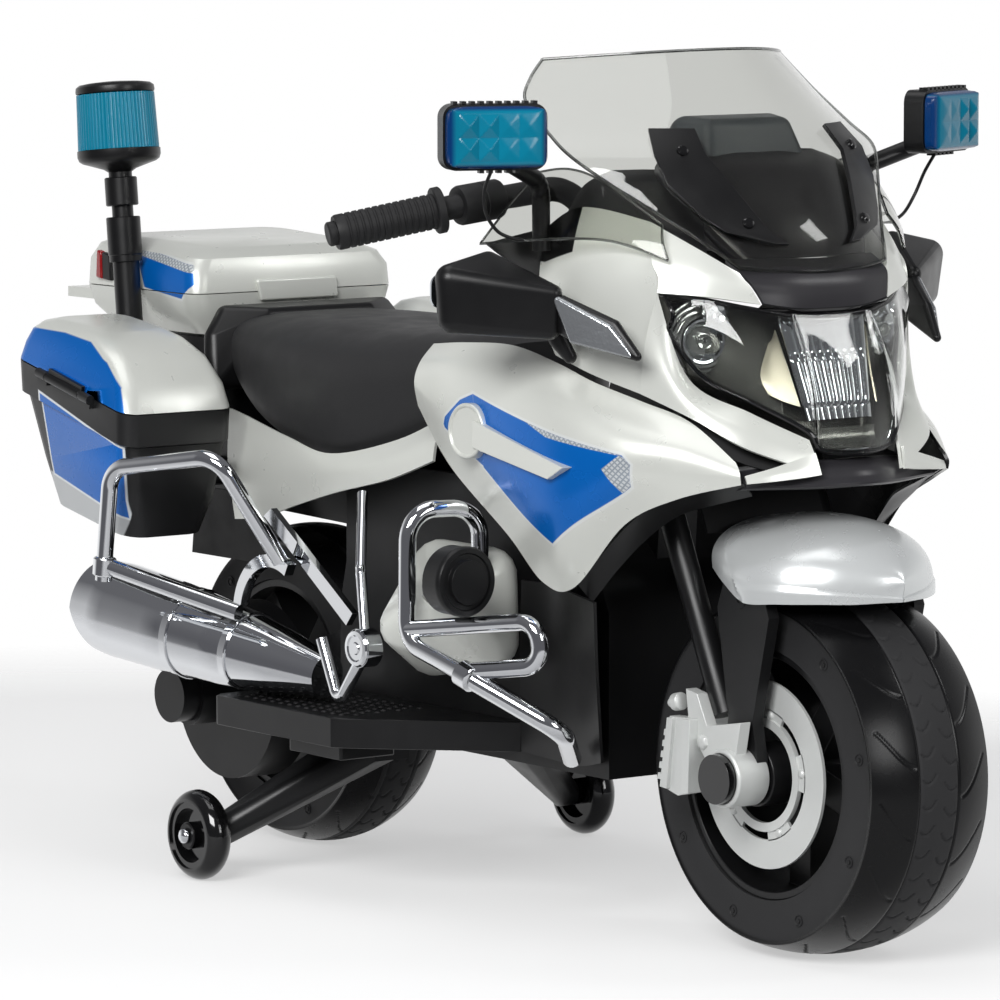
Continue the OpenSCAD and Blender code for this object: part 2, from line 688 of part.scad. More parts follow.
// Side fairing: stations from the rear tip to the nose, each from the top edge to the bottom
fairing_stations = [
    [[84, -146, 524], [82, -160, 508], [81, -166, 490], [84, -164, 468]],
    [[150, -157, 530], [150, -178, 508], [149, -182, 465], [148, -174, 418]],
    [[230, -164, 533], [232, -190, 503], [238, -196, 440], [241, -178, 364]],
    [[298, -166, 522], [302, -195, 488], [306, -200, 410], [286, -172, 325]],
    [[345, -161, 508], [350, -192, 474], [352, -196, 405], [326, -167, 325]],
    [[395, -147, 494], [400, -176, 462], [400, -178, 428], [388, -160, 385]],
    [[440, -128, 478], [447, -148, 457], [449, -151, 437], [446, -146, 412]],
    [[490, -117, 446], [496, -118, 440], [499, -119, 434], [499, -118, 427]]];
module side_fairing() {
    color(silver) at_front() sheet(smooth_grid(fairing_stations, 3, 4), panel_t);
}
module side_fairing_right() { side_fairing(); }
module side_fairing_left() { mirror([0, 1, 0]) side_fairing(); }

// Upper fairing: a rear panel that forks into a brow above the headlight and a cheek below it
upper_rear = [
    [[255, -160, 628], [268, -172, 600], [280, -176, 570], [298, -168, 529]],
    [[314, -154, 660], [331, -167, 619], [342, -171, 575], [346, -164, 515]],
    [[384, -129, 650], [400, -140, 618], [412, -143, 590], [398, -151, 501]]];
upper_brow = [
    [[384, -129, 650], [400, -140, 618], [412, -143, 590]],
    [[424, -106, 627], [434, -111, 608], [441, -113, 587]],
    [[453, -84, 607], [462, -78, 594], [468, -72, 580]]];
upper_cheek = [
    [[412, -143, 590], [404, -150, 546], [398, -151, 501]],
    [[427, -119, 514], [438, -128, 498], [444, -129, 481]],
    [[474, -87, 486], [484, -97, 472], [489, -104, 457]],
    [[509, -50, 463], [516, -48, 448], [521, -46, 434]]];
upper_lip = [
    [[511, -66, 446], [515, -65, 438], [517, -64, 431]],
    [[505, -90, 439], [508, -90, 434], [509, -90, 429]],
    [[496, -112, 433], [498, -112, 430], [499, -112, 427]]];
module upper_fairings() {
    color(silver) at_front() both_sides() {
        sheet(smooth_grid(upper_rear, 4, 3), panel_t);
        sheet(smooth_grid(upper_brow, 4, 3), panel_t);
        sheet(smooth_grid(upper_cheek, 4, 3), panel_t);
        sheet(smooth_grid(upper_lip, 2, 2), panel_t);
    }
}

// Headlight: a lens across the nose, with a housing behind it and lamps between them
lens_stations = [[133, 411, 586, 415, 558], [112, 432, 584, 436, 518], [84, 457, 577, 474, 495],
    [50, 474, 570, 508, 470], [38, 476, 569, 511, 454], [0, 478, 567, 519, 450]];
function lens_column(s, side) = [for (k = [0:4]) let (t = k / 4, bulge = 9 * sin(180 * t))
    [s[1] + (s[3] - s[1]) * t + bulge, side * s[0], s[2] + (s[4] - s[2]) * t]];
lens_columns = concat([for (s = lens_stations) lens_column(s, -1)],
    [for (k = [len(lens_stations) - 2:-1:0]) lens_column(lens_stations[k], 1)]);
function lens_grid() = turned([for (r = turned(lens_columns)) smooth_row(r, 3)]);
housing_depth = 42;
housing_t = 3;
function backed(g, d) = [for (r = g) [for (p = r) p - [d, 0, 0]]];
module headlight_lens() {
    color(clear) at_front() sheet(lens_grid(), -lens_t);
}
module headlight_housing() {
    color("#3a3b3e") at_front()
        slab(backed(lens_grid(), housing_depth), backed(lens_grid(), housing_depth + housing_t));
}
lamp_r = 23;
lamp_at = [428, -100, 543];
lamp_l = 22;
lamp_cup = 8;
lamp_dir = unit([0.9, -0.28, 0]);
flute_w = 58;
module headlight_lamps() {
    color("#c9ccd0") at_front() difference() {
        union() {
            both_sides() difference() {
                rod(lamp_at - lamp_l * lamp_dir, lamp_at, lamp_r);
                rod(lamp_at - lamp_cup * lamp_dir, lamp_at + lamp_dir, lamp_r - 5);
            }
            side_plate(-flute_w / 2, flute_w / 2)
                polygon([[438, 556], [458, 556], [498, 468], [476, 464]]);
        }
        slab(backed(lens_grid(), housing_depth - part_gap), backed(lens_grid(), housing_depth + 60));
    }
}
// Nose panel between the brows, running up under the windscreen
nose_rows = [
    [[477, 0, 574], [476, -38, 575], [469.5, -69.5, 580]],
    [[475, 0, 588], [473, -40, 589], [464, -75, 593]],
    [[470, 0, 601], [467, -42, 602], [455, -81, 605]]];
function across(row) = concat([for (k = [len(row) - 1:-1:1]) row[k]], [row[0]],
    [for (k = [1:len(row) - 1]) [row[k].x, -row[k].y, row[k].z]]);
module nose_panel() {
    color(black) at_front() sheet(smooth_grid([for (r = nose_rows) across(r)], 3, 2), panel_t);
}

// Beak: a solid lip under the headlight that runs back between the fairings
beak_sections = [
    [0, [[402, 428], [498, 443], [517, 442], [529, 432], [524, 421], [402, 417]]],
    [40, [[400, 428], [490, 443], [507, 441], [519, 431], [514, 420], [400, 416]]],
    [84, [[396, 428], [472, 438], [488, 436], [499, 429], [494, 420], [396, 416]]],
    [110, [[394, 428], [458, 434], [474, 431], [486, 427], [482, 420], [394, 416]]]];
function beak_ring(s, side) = smooth_ring([for (q = s[1]) [q[0], side * s[0], q[1]]], 3);
module beak() {
    n = len(beak_sections) - 1;
    color(black) at_front() loft(concat([for (k = [n:-1:0]) beak_ring(beak_sections[k], -1)],
        [for (k = [1:n]) beak_ring(beak_sections[k], 1)]));
}

// Windscreen: rows of height, half width, X in the middle and at the edge, and rise of the middle
screen_rows = [[788, 136, 328, 236, 9], [771, 153, 346, 240, 6], [752, 167, 366, 252, 3],
    [726, 172, 390, 292, 0], [707, 173, 408, 325, 0], [685, 155, 425, 354, 0], [660, 129, 443, 388, 0],
    [635, 104, 458, 422, 0], [612, 82, 467, 452, -6]];
function screen_row(r, n) = [for (k = [-n:n]) let (a = k / n)
    [r[3] + (r[2] - r[3]) * (1 - a * a), r[1] * a, r[0] + r[4] * (1 - a * a)]];
function screen_grid() =
    turned([for (c = turned([for (r = screen_rows) screen_row(r, 9)])) smooth_row(c, 2)]);
function by_height(col) = [for (r = reversed(screen_rows)) [r[0], r[col]]];
function screen_point(y, z) = let (w = lookup(z, by_height(1)), m = lookup(z, by_height(2)),
    e = lookup(z, by_height(3))) [e + (m - e) * (1 - (y / w) ^ 2), y, z];
module windscreen() {
    color(clear) at_front() sheet(screen_grid(), -screen_t);
}
// Screen brackets: black straps on the screen's face, from z, with the inner and outer y there
bracket_rows = [[726, 72, 107], [705, 76, 116], [680, 66, 114], [652, 54, 97], [640, 48, 84], [628, 34, 50]];
bracket_lift = 2.5;
bracket_t = 4;
module screen_brackets() {
    g = [for (r = bracket_rows) [for (k = [0:4]) screen_point(-r[2] + (r[2] - r[1]) * k / 4, r[0])]];
    color(black) at_front() both_sides() slab(grid_offset(g, bracket_lift),
        grid_offset(g, bracket_lift + bracket_t));
}
// Wing deflectors: clear vanes beside the screen
deflector_rows = [
    [[278, -172, 690], [270, -199, 660], [262, -224, 628]],
    [[310, -162, 694], [318, -182, 664], [322, -196, 634]],
    [[346, -152, 684], [364, -160, 656], [374, -165, 634]],
    [[400, -128, 648], [408, -134, 634], [416, -134, 618]]];
module wing_deflectors() {
    color(clear) at_front() both_sides() difference() {
        sheet(smooth_grid(deflector_rows, 3, 3), -deflector_t);
        pipe(stalk_path, stalk_r + part_gap, stalk_bend);
    }
}
// Instrument cowl: a hood that follows the screen from behind
cowl_rows = [[742, 50, 37], [724, 58, 36], [704, 74, 30], [690, 98, 14], [660, 90, 10], [636, 78, 8],
    [617, 66, 8]];
cowl_depth = 26;
function cowl_row(r) = concat([screen_point(-r[1], r[0]) - [r[2] + cowl_depth + 34, 6, 0]],
    [for (k = [-3:3]) screen_point(r[1] * k / 3, r[0]) - [r[2] + cowl_depth * 0.3, 0, 0]],
    [screen_point(r[1], r[0]) - [r[2] + cowl_depth + 34, -6, 0]]);
module instrument_cowl() {
    color(black) at_front() sheet(smooth_grid([for (r = cowl_rows) cowl_row(r)], 2, 2), -panel_t);
}

// Mirrors: wedge housings on the fairing, with a glass behind and a signal lens in front
mirror_balls = [[284, -291, 592, 15], [282, -284, 572, 13], [282, -206, 608, 11], [350, -212, 592, 9],
    [426, -174, 542, 6], [344, -190, 532, 8]];
signal_balls = [[362, -226, 586, 5], [382, -214, 557, 5], [434, -172, 540, 4], [384, -202, 583, 5]];
mirror_back_x = 274;
glass_t = 2;
module ball_hull(balls, grow) {
    hull() for (b = balls) translate([b[0], b[1], b[2]]) sphere(b[3] + grow, $fn = 16);
}
module mirror_housings() {
    color(black) at_front() both_sides() difference() {
        ball_hull(mirror_balls, 0);
        ball_hull(mirror_balls, -panel_t);
        ball_hull(signal_balls, part_gap);
        translate([mirror_back_x - 60, -330, 500]) cube([60, 160, 160]);
    }
}
module mirror_glasses() {
    color("#aeb6bc") at_front() both_sides()
        translate([mirror_back_x - part_gap - glass_t, -250, 589]) round_plate(72, 30, 10, glass_t);
}
module signal_lenses() {
    color(clear) at_front() both_sides() ball_hull(signal_balls, 0);
}

// Flasher pods on bent stalks, each with a short lead
pod_at = [330, -258, 726];
pod_w = 94;
pod_h = 58;
pod_splay = 22;
pod_back = 20;
pod_lens_d = 18;
stalk_r = 8;
stalk_bend = 20;
stalk_path = [[293, -180, 622], [293, -180, 682], [316, -236, 704]];
module pod_housings() {
    color(black) at_front() both_sides() {
        translate(pod_at) rotate(-pod_splay) translate([-pod_back, 0, 0])
            round_plate(pod_w, pod_h, 12, pod_back);
        pipe(stalk_path, stalk_r, stalk_bend);
    }
}
module pod_lenses() {
    color(teal) at_front() both_sides()
        translate(pod_at) rotate(-pod_splay) translate([part_gap, 0, 0])
            round_plate(pod_w - 4, pod_h - 4, 12, pod_lens_d);
}
wire_r = 1.6;
wire_path = [[318, -254, 695], [306, -252, 678], [300, -246, 658], [300, -234, 642], [303, -220, 635],
    [305, -209, 633]];
module pod_wires() {
    color(black) at_front() both_sides() wire(wire_path, wire_r, 4);
}

// Seat: stations of x, half width, top and bottom
seat_stations = [[-333, 76, 528, 492], [-318, 98, 543, 462], [-250, 120, 545, 416], [-170, 131, 533, 392],
    [-94, 132, 525, 384], [-20, 117, 526, 406], [36, 94, 526, 438], [66, 62, 518, 474]];
function squircle(s, inset, n) =
    let (w = s[1] - inset, c = (s[2] + s[3]) / 2, h = (s[2] - s[3]) / 2 - inset)
    [for (k = [0:n - 1]) let (a = 360 * k / n, u = cos(a), v = sin(a))
        [s[0], w * sign(u) * abs(u) ^ 0.55, c + h * sign(v) * abs(v) ^ 0.6]];
function ribbed(rings, n) = turned([for (c = turned(rings)) smooth_row(c, n)]);
module seat() {
    inner = [for (k = [1:len(seat_stations) - 2]) let (s = seat_stations[k])
        [s[0], s[1], s[2], s[3] - 60]];
    color(black) along_rear() difference() {
        loft(ribbed([for (s = seat_stations) squircle(s, 0, 28)], 2));
        loft([for (s = inner) squircle(s, seat_wall, 20)]);
    }
}
// Side panels: stations from the rear forward, from the top edge to the bottom
side_panel_rows = [
    [[-300, -112, 434], [-286, -124, 385], [-268, -128, 330]],
    [[-250, -124, 430], [-226, -136, 388], [-206, -138, 338]],
    [[-170, -134, 418], [-152, -142, 388], [-140, -143, 356]],
    [[-94, -136, 408], [-80, -143, 390], [-72, -144, 374]],
    [[0, -126, 428], [4, -138, 410], [6, -142, 392]],
    [[62, -112, 456], [66, -130, 434], [68, -136, 414]]];
module side_panels() {
    color(silver) along_rear() both_sides() sheet(smooth_grid(side_panel_rows, 3, 3), panel_t);
}

// Rounded rings of a case: x0, x1, y0, y1, corner, height at x0 and at x1
function case_ring(c, inset, drop) = let (x0 = c[0] + inset, x1 = c[1] - inset, y0 = c[2] + inset,
    y1 = c[3] - inset, r = max(c[4] - inset, 2), slope = (c[6] - c[5]) / (c[1] - c[0]))
    [for (q = [0:3]) for (k = [0:4]) let (a = 90 * q + 22.5 * k,
        x = (q == 0 || q == 3 ? x1 - r : x0 + r) + r * cos(a),
        y = (q < 2 ? y1 - r : y0 + r) + r * sin(a))
        [x, y, c[5] + (x - c[0]) * slope - drop]];

// Panniers: drawn on the right and mirrored
pannier_y0 = 151;
pannier_rim = [-426, -231, -278, -pannier_y0, 16, 484, 440];
pannier_rings = [[-392, -258, -258, -166, 22, 346, 320], [-404, -246, -266, -158, 20, 392, 356],
    [-418, -237, -274, -153, 17, 452, 408], [-425, -232, -277, -152, 16, 454, 410], pannier_rim];
lid_rings = [pannier_rim, [-423, -239, -274, -153, 17, 501, 463], [-419, -262, -269, -157, 18, 513, 488],
    [-412, -292, -261, -163, 18, 520, 504], [-400, -314, -250, -172, 18, 523, 512]];
rim_slope = atan((pannier_rim[5] - pannier_rim[6]) / (pannier_rim[1] - pannier_rim[0]));
barrel_r = hinge_pin_r + 2.2;
barrel_out = barrel_r + part_gap;
knuckle_hl = 30;
lug_l = 16;
tab_w = barrel_out + case_wall;
module on_rim() {
    translate([(pannier_rim[0] + pannier_rim[1]) / 2, pannier_rim[2] - barrel_out,
        (pannier_rim[5] + pannier_rim[6]) / 2 + lid_gap / 2])
        rotate([0, rim_slope, 0]) children();
}
module bar_x(x0, x1, r) { translate([x0, 0, 0]) rotate([0, 90, 0]) cylinder(h = x1 - x0, r = r); }
module lugs() {
    for (s = [-1, 1]) {
        x = s > 0 ? knuckle_hl + part_gap : -knuckle_hl - part_gap - lug_l;
        bar_x(x, x + lug_l, barrel_r);
        translate([x, 0, -barrel_r - 4]) cube([lug_l, tab_w, barrel_r + 4 - lid_gap]);
    }
    bar_x(-knuckle_hl - lug_l, knuckle_hl + lug_l, hinge_pin_r);
}
module knuckle() {
    difference() {
        union() {
            bar_x(-knuckle_hl, knuckle_hl, barrel_r);
            translate([-knuckle_hl, 0, lid_gap]) cube([2 * knuckle_hl, tab_w, barrel_r + 3]);
        }
        bar_x(-knuckle_hl - 1, knuckle_hl + 1, hinge_pin_r + run_gap);
    }
}
module pannier_boxes() {
    n = len(pannier_rings);
    color(black) at_rear() both_sides() {
        difference() {
            loft([for (c = pannier_rings) case_ring(c, 0, 0)]);
            loft(concat([for (k = [0:n - 1])
                case_ring(pannier_rings[k], case_wall, k == 0 ? -case_wall : 0)],
                [case_ring(pannier_rim, case_wall, -2)]));
        }
        on_rim() lugs();
    }
}
module pannier_lid() {
    color(silver) at_rear() {
        difference() {
            loft([for (k = [0:len(lid_rings) - 1]) case_ring(lid_rings[k], 0, k == 0 ? -lid_gap : 0)]);
            loft([for (k = [0:len(lid_rings) - 1])
                case_ring(lid_rings[k], case_wall, k == 0 ? 2 : case_wall)]);
        }
        on_rim() knuckle();
    }
}
module pannier_lid_right() { pannier_lid(); }
module pannier_lid_left() { mirror([0, 1, 0]) pannier_lid(); }

// Top case on the tail, with a lid hinged on its left edge and a plate ledge behind
case_x0 = -548;
case_x1 = -348;
split_z = 541;
hw = top_case_hw;
top_base_rings = [[case_x0 + 20, case_x1 - 6, 20 - hw, hw - 20, 22, 501, 501],
    [case_x0 + 4, case_x1 - 2, 4 - hw, hw - 4, 20, 522, 522],
    [case_x0, case_x1, -hw, hw, 18, split_z, split_z]];
top_lid_rings = [[case_x0, case_x1, -hw, hw, 18, split_z, split_z],
    [case_x0 + 2, case_x1 - 2, 1 - hw, hw - 1, 18, 568, 562],
    [case_x0 + 8, case_x1 - 8, 8 - hw, hw - 8, 20, 583, 575],
    [case_x0 + 22, case_x1 - 24, 26 - hw, hw - 26, 24, 591, 584]];
module on_top_rim() {
    translate([(case_x0 + case_x1) / 2, hw + barrel_out, split_z + lid_gap / 2])
        mirror([0, 1, 0]) children();
}
ledge_x0 = -630;
ledge_hw = 85;
ledge_z = 522;
ledge_t = 10;
module top_case_base() {
    color(silver) at_rear() {
        difference() {
            loft([for (c = top_base_rings) case_ring(c, 0, 0)]);
            loft(concat([for (k = [0:2]) case_ring(top_base_rings[k], case_wall, k == 0 ? -case_wall : 0)],
                [case_ring(top_base_rings[2], case_wall, -2)]));
        }
        translate([ledge_x0, -ledge_hw, ledge_z]) cube([case_x0 - ledge_x0 + 3, 2 * ledge_hw, ledge_t]);
        on_top_rim() lugs();
    }
}
module top_case_lid() {
    color(silver) at_rear() {
        difference() {
            loft([for (k = [0:3]) case_ring(top_lid_rings[k], 0, k == 0 ? -lid_gap : 0)]);
            loft([for (k = [0:3]) case_ring(top_lid_rings[k], case_wall, k == 0 ? 2 : case_wall)]);
        }
        on_top_rim() knuckle();
    }
}
light_t = 7;
light_h = 24;
module tail_light() {
    light_z = split_z + lid_gap + 2 + light_h / 2;
    color("#a01418") at_rear() translate([case_x0 - part_gap - light_t, 0, light_z])
        round_plate(2 * hw - 60, light_h, 8, light_t);
}
tail_rings = [[-452, -346, -86, 86, 20, 400, 400], [-468, -339, -96, 96, 20, 460, 460],
    [-468, -339, -98, 98, 18, 498, 498]];
module tail_shell() {
    color(black) at_rear() {
        difference() {
            loft([for (c = tail_rings) case_ring(c, 0, 0)]);
            loft([for (k = [0:2]) case_ring(tail_rings[k], panel_t, k == 0 ? 2 : (k == 2 ? panel_t : 0))]);
        }
        translate([-345, -96, 490]) cube([6, 192, 28]);
    }
}

// Beacon on a telescopic mast beside the top case
mast_foot = [-430, -136, 430];
mast_dir = unit([-15, 0, 141]);
mast_l = 170;
sleeve_l = 30;
collar_s0 = 10;
collar_s1 = 40;
mast_socket = mast_travel + 30;
stub_y = -98;
module mast_base() {
    top = mast_foot + mast_l * mast_dir;
    color(black) at_rear() difference() {
        union() {
            rod(mast_foot, top, mast_r);
            rod(top - sleeve_l * mast_dir, top, mast_r + 3);
            rod([mast_foot.x, stub_y, mast_foot.z + 14], mast_foot + [0, 0, 14], 8);
        }
        rod(top - mast_socket * mast_dir, top + mast_dir, mast_inner_r + run_gap);
    }
}
beacon_foot = mast_foot + (mast_l + 58) * mast_dir;
beacon_plate_h = 12;
beacon_cap_h = 18;
module mast_tube() {
    lens_top = beacon_plate_h + beacon_h;
    color(black) at_rear() {
        rod(mast_foot + (mast_l - mast_socket + 2) * mast_dir, beacon_foot + mast_dir, mast_inner_r);
        rod(mast_foot + (mast_l + collar_s0) * mast_dir, mast_foot + (mast_l + collar_s1) * mast_dir,
            mast_r + 3);
        rod(mast_foot + (mast_l + collar_s1 - 1) * mast_dir, beacon_foot + mast_dir, mast_r);
        rod(beacon_foot, beacon_foot + beacon_plate_h * mast_dir, beacon_r + 3);
        rod(beacon_foot + beacon_plate_h * mast_dir, beacon_foot + (lens_top + 1) * mast_dir, 6);
        rod(beacon_foot + (lens_top + part_gap) * mast_dir,
            beacon_foot + (lens_top + beacon_cap_h) * mast_dir, beacon_r);
    }
}
module beacon_lens() {
    a = beacon_foot + (beacon_plate_h + part_gap) * mast_dir;
    b = beacon_foot + (beacon_plate_h + beacon_h) * mast_dir;
    color(teal) at_rear() difference() {
        rod(a, b, beacon_r);
        rod(a - mast_dir, b + mast_dir, beacon_r - 4);
    }
}

// Chrome guards
hoop_path = [[183, -166, 316], [184, -168, 384], [168, -236, 384], [166, -236, 264], [256, -236, 244]];
hoop_bend = 27;
loop_path = [[250, -236, 246], [322, -200, 256], [318, -204, 296], [168, -236, 276]];
loop_bend = 18;
crash_low_path = [[262, -233, 240], [332, -184, 196], [262, -122, 160]];
module front_crash_bars() {
    color(chrome) along_front() both_sides() {
        tube(hoop_path, guard_r, hoop_bend);
        tube(loop_path, guard_r, loop_bend);
        tube(crash_low_path, guard_r + 1, guard_bend - 4);
        rod([248, -236, 246], [266, -234, 240], guard_r + 4);
    }
}
guard_path = [[-250, -291, 284], [-236, -291, 392], [-100, -262, 412], [-80, -204, 312]];
guard_low_path = [[-249, -291, 299], [-170, -258, 278], [-112, -230, 262]];
module rear_guard_bars() {
    color(chrome) both_sides() {
        tube(guard_path, guard_r, guard_bend);
        tube(guard_low_path, guard_r, guard_bend);
        rod([-249, -291, 288], [-247, -291, 306], guard_r + 3);
    }
}
// Silencer: a tapered drum on the right, open at the rear
silencer_rear = [-356, -222, 246];
silencer_front = [-42, -178, 206];
silencer_wall = 4;
silencer_profile = [[20, 1], [31, 0.8], [39, 0.6], [44, 0.35], [46, 0.1], [44, 0]];
module silencer() {
    d = silencer_front - silencer_rear;
    l = norm(d);
    outer = [for (q = silencer_profile) [q[0], q[1] * l]];
    inner = [for (k = [len(outer) - 1:-1:1]) outer[k] - [silencer_wall, 0]];
    color(chrome) translate(silencer_rear) rotate([0, acos(d.z / l), atan2(d.y, d.x)]) difference() {
        rotate_extrude() polygon(concat([[0, l]], outer, inner, [[0, l * 0.86]]));
        rotate([0, -24, 0]) translate([-100, -100, -120]) cube([200, 200, 120]);
    }
}
// Footrest trim: links, bosses and brackets in chrome on each side
trim_y = -195;
boss_at = [44, trim_y, 243];
module footrest_trim() {
    color(chrome) both_sides() {
        pipe([[-18, -154, 378], [24, -186, 312], [44, -195, 252]], 5, 16);
        disc_y(boss_at, 18, trim_y + 7, trim_y - 9);
        pipe([[-26, trim_y, 244], [2, trim_y, 186], [42, trim_y, 238]], 6, 8);
        side_plate(-186, -193) polygon([[-124, 350], [-112, 358], [20, 272], [10, 260]]);
        translate([-95, -196, 255]) rotate([90, 0, 0]) rotate(62) rotate_extrude(angle = 108)
            translate([50, 0]) square([12, 10]);
    }
}
// Engine covers with a siren drum ahead of each
cover_balls = [[80, -143, 245, 28], [165, -143, 260, 28], [90, -143, 318, 26], [165, -143, 318, 26],
    [106, -194, 270, 24], [158, -194, 298, 24]];
drum_at = [223, -229, 326];
drum_r = 31;
drum_l = 24;
drum_face_r = 20;
drum_foot = [172, -202, 312];
drum_neck = drum_at + [1, 7, -4];
drum_neck_r = 18;
module cylinder_covers() {
    color(silver) along_front() both_sides() difference() {
        ball_hull(cover_balls, 0);
        ball_hull(cover_balls, -panel_t - 1);
        translate([0, -122, 150]) cube([250, 30, 250]);
        tube(hoop_path, guard_r + part_gap, hoop_bend);
        rod(drum_foot - (drum_neck - drum_foot) * 0.1, drum_neck, drum_neck_r + part_gap);
    }
}
module siren_drums() {
    color(black) along_front() both_sides() {
        rod(drum_at, drum_at + [drum_l, 0, 0], drum_r);
        rod(drum_at + [drum_l - 1, 0, 0], drum_at + [drum_l + 6, 0, 0], drum_face_r);
        rod(drum_foot, drum_neck, drum_neck_r);
    }
}
// Footboards: flat treads with a box below, bolted to the tub
module footboards() {
    y0 = -tub_hw - part_gap;
    z0 = footboard_z - footboard_t;
    color(black) both_sides() {
        difference() {
            translate([0, 0, z0]) linear_extrude(footboard_t)
                polygon([[-172, y0], [-172, -210], [-162, -222], [26, -222], [38, -214], [154, y0]]);
            translate([-164, -212, z0 - 1]) cube([190, 108, footboard_t - 4]);
        }
        translate([-62, -208, z0 - 14]) cube([84, 62, footboard_t + 12]);
    }
}

main_frame();
belly_fairing();
side_fairing_right();
side_fairing_left();
upper_fairings();
nose_panel();
headlight_housing();
headlight_lamps();
headlight_lens();
beak();
windscreen();
screen_brackets();
wing_deflectors();
instrument_cowl();
mirror_housings();
mirror_glasses();
signal_lenses();
pod_housings();
pod_lenses();
pod_wires();
seat();
tail_shell();
side_panels();
front_crash_bars();
rear_guard_bars();
cylinder_covers();
siren_drums();
footboards();
silencer();
footrest_trim();
pannier_boxes();
pannier_lid_right();
pannier_lid_left();
top_case_base();
top_case_lid();
tail_light();
mast_base();
mast_tube();
beacon_lens();
battery();
drive_motor();
gear_case();
motor_pinion();
idler_gear();
rear_axle();
stabiliser_brackets();
stabiliser_wheel_right();
stabiliser_wheel_left();
rear_rim();
rear_tyre();
fork();
handlebar();
throttle_grip();
start_button();
front_mudguard();
brake_calipers();
front_axle();
front_rim();
brake_discs();
front_tyre();
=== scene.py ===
"""Ride-on patrol motorcycle with stabiliser wheels: its looks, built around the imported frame."""
import math

import bmesh
import bpy
import numpy as np
from mathutils import Matrix, Vector


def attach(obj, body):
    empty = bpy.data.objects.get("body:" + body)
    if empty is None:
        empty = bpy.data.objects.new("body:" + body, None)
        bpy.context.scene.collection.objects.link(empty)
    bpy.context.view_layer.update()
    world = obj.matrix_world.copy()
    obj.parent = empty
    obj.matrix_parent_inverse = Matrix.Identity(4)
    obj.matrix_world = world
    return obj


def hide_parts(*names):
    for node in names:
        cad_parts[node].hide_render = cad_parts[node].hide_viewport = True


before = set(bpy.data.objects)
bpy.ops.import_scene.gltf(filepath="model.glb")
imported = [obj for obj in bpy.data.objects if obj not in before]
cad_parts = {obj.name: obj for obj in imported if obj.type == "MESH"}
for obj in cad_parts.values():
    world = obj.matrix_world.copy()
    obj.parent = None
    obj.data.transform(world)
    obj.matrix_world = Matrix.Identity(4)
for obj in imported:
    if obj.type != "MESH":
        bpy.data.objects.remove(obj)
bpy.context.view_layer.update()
scene = bpy.context.scene
scene.view_settings.view_transform = "Standard"

# Stage: the camera of the photograph, a white backdrop in a dim room, a pale floor that fades out
# around the object, and four soft boxes.
yaw, pitch = math.radians(143.45), math.radians(6.15)
forward = Vector((math.cos(yaw) * math.cos(pitch), math.sin(yaw) * math.cos(pitch), -math.sin(pitch)))
right = Vector((math.sin(yaw), -math.cos(yaw), 0))
camera = bpy.data.objects.new("camera", bpy.data.cameras.new("camera"))
camera.data.sensor_width = 36
camera.data.lens = 226.76
camera.data.clip_end = 60
pose = Matrix((right, right.cross(forward), -forward)).transposed().to_4x4()
pose.translation = (4.7370, -3.5199, 0.99924)
camera.matrix_world = pose
scene.collection.objects.link(camera)
scene.camera = camera


def operator(operation, reflected=False):
    """A method of Sock that adds a Math node; a reflected one swaps its two values."""
    def method(sock, other=0.0):
        a, b = (other, sock) if reflected else (sock, other)
        return sock.make("Math", {0: a, 1: b}, operation=operation)
    return method


class Sock:
    """A shader socket that can be used in sums, and that makes the nodes it needs."""

    def __init__(self, tree, out=None):
        self.tree, self.out = tree, out

    def make(self, kind, inputs=None, pick=0, **settings):
        node = self.tree.nodes.new("ShaderNode" + kind)
        for key, value in settings.items():
            setattr(node, key, value)
        for key, value in (inputs or {}).items():
            if isinstance(value, Sock):
                self.tree.links.new(value.out, node.inputs[key])
            else:
                node.inputs[key].default_value = value
        return Sock(self.tree, node.outputs[pick])

    def feed(self, node, key):
        self.tree.links.new(self.out, self.tree.nodes[node].inputs[key])

    __add__ = __radd__ = operator("ADD")
    __mul__ = __rmul__ = operator("MULTIPLY")
    __sub__, __rsub__ = operator("SUBTRACT"), operator("SUBTRACT", reflected=True)
    __truediv__, __rtruediv__ = operator("DIVIDE"), operator("DIVIDE", reflected=True)
    __abs__ = operator("ABSOLUTE")
    least, most = operator("MINIMUM"), operator("MAXIMUM")
    root, fraction = operator("SQRT"), operator("FRACT")

    def clip(self):
        return self.make("Clamp", {"Value": self})

    def inside(self, soft):
        """A mask of what lies above zero, with a soft edge."""
        return (self * (0.5 / soft) + 0.5).clip()

    def parts(self):
        return [self.make("SeparateXYZ", {"Vector": self}, pick=k) for k in range(3)]

    def stretched(self, by):
        return self.make("VectorMath", {0: self, 1: by}, operation="MULTIPLY")

    def noise(self, scale, detail=2.0):
        return self.make("TexNoise", {"Vector": self, "Scale": scale, "Detail": detail})

    def blend(self, a, b):
        return self.make("Mix", {0: self, 6: a, 7: b}, pick=2, data_type="RGBA")


def lin(r, g, b):
    """A colour as seen on the screen, in the linear values of a shader."""
    linear = [((c / 255 + 0.055) / 1.055) ** 2.4 if c > 10 else c / 3294.6 for c in (r, g, b)]
    return (*linear, 1.0)


world = bpy.data.worlds.new("studio")
scene.world = world
world.use_nodes = True
dx, dy, height = Sock(world.node_tree).make("TexCoord", pick=0).parts()
ahead_of_lens = ((dx * forward.x + dy * forward.y + 0.1) / 0.5).clip()
backdrop = ahead_of_lens.blend((0.12, 0.12, 0.13, 1), (1, 1, 1, 1))
dim = ((height - 0.10) / 0.5).clip()
dim.blend(backdrop, (0.15, 0.15, 0.16, 1)).feed("Background", "Color")


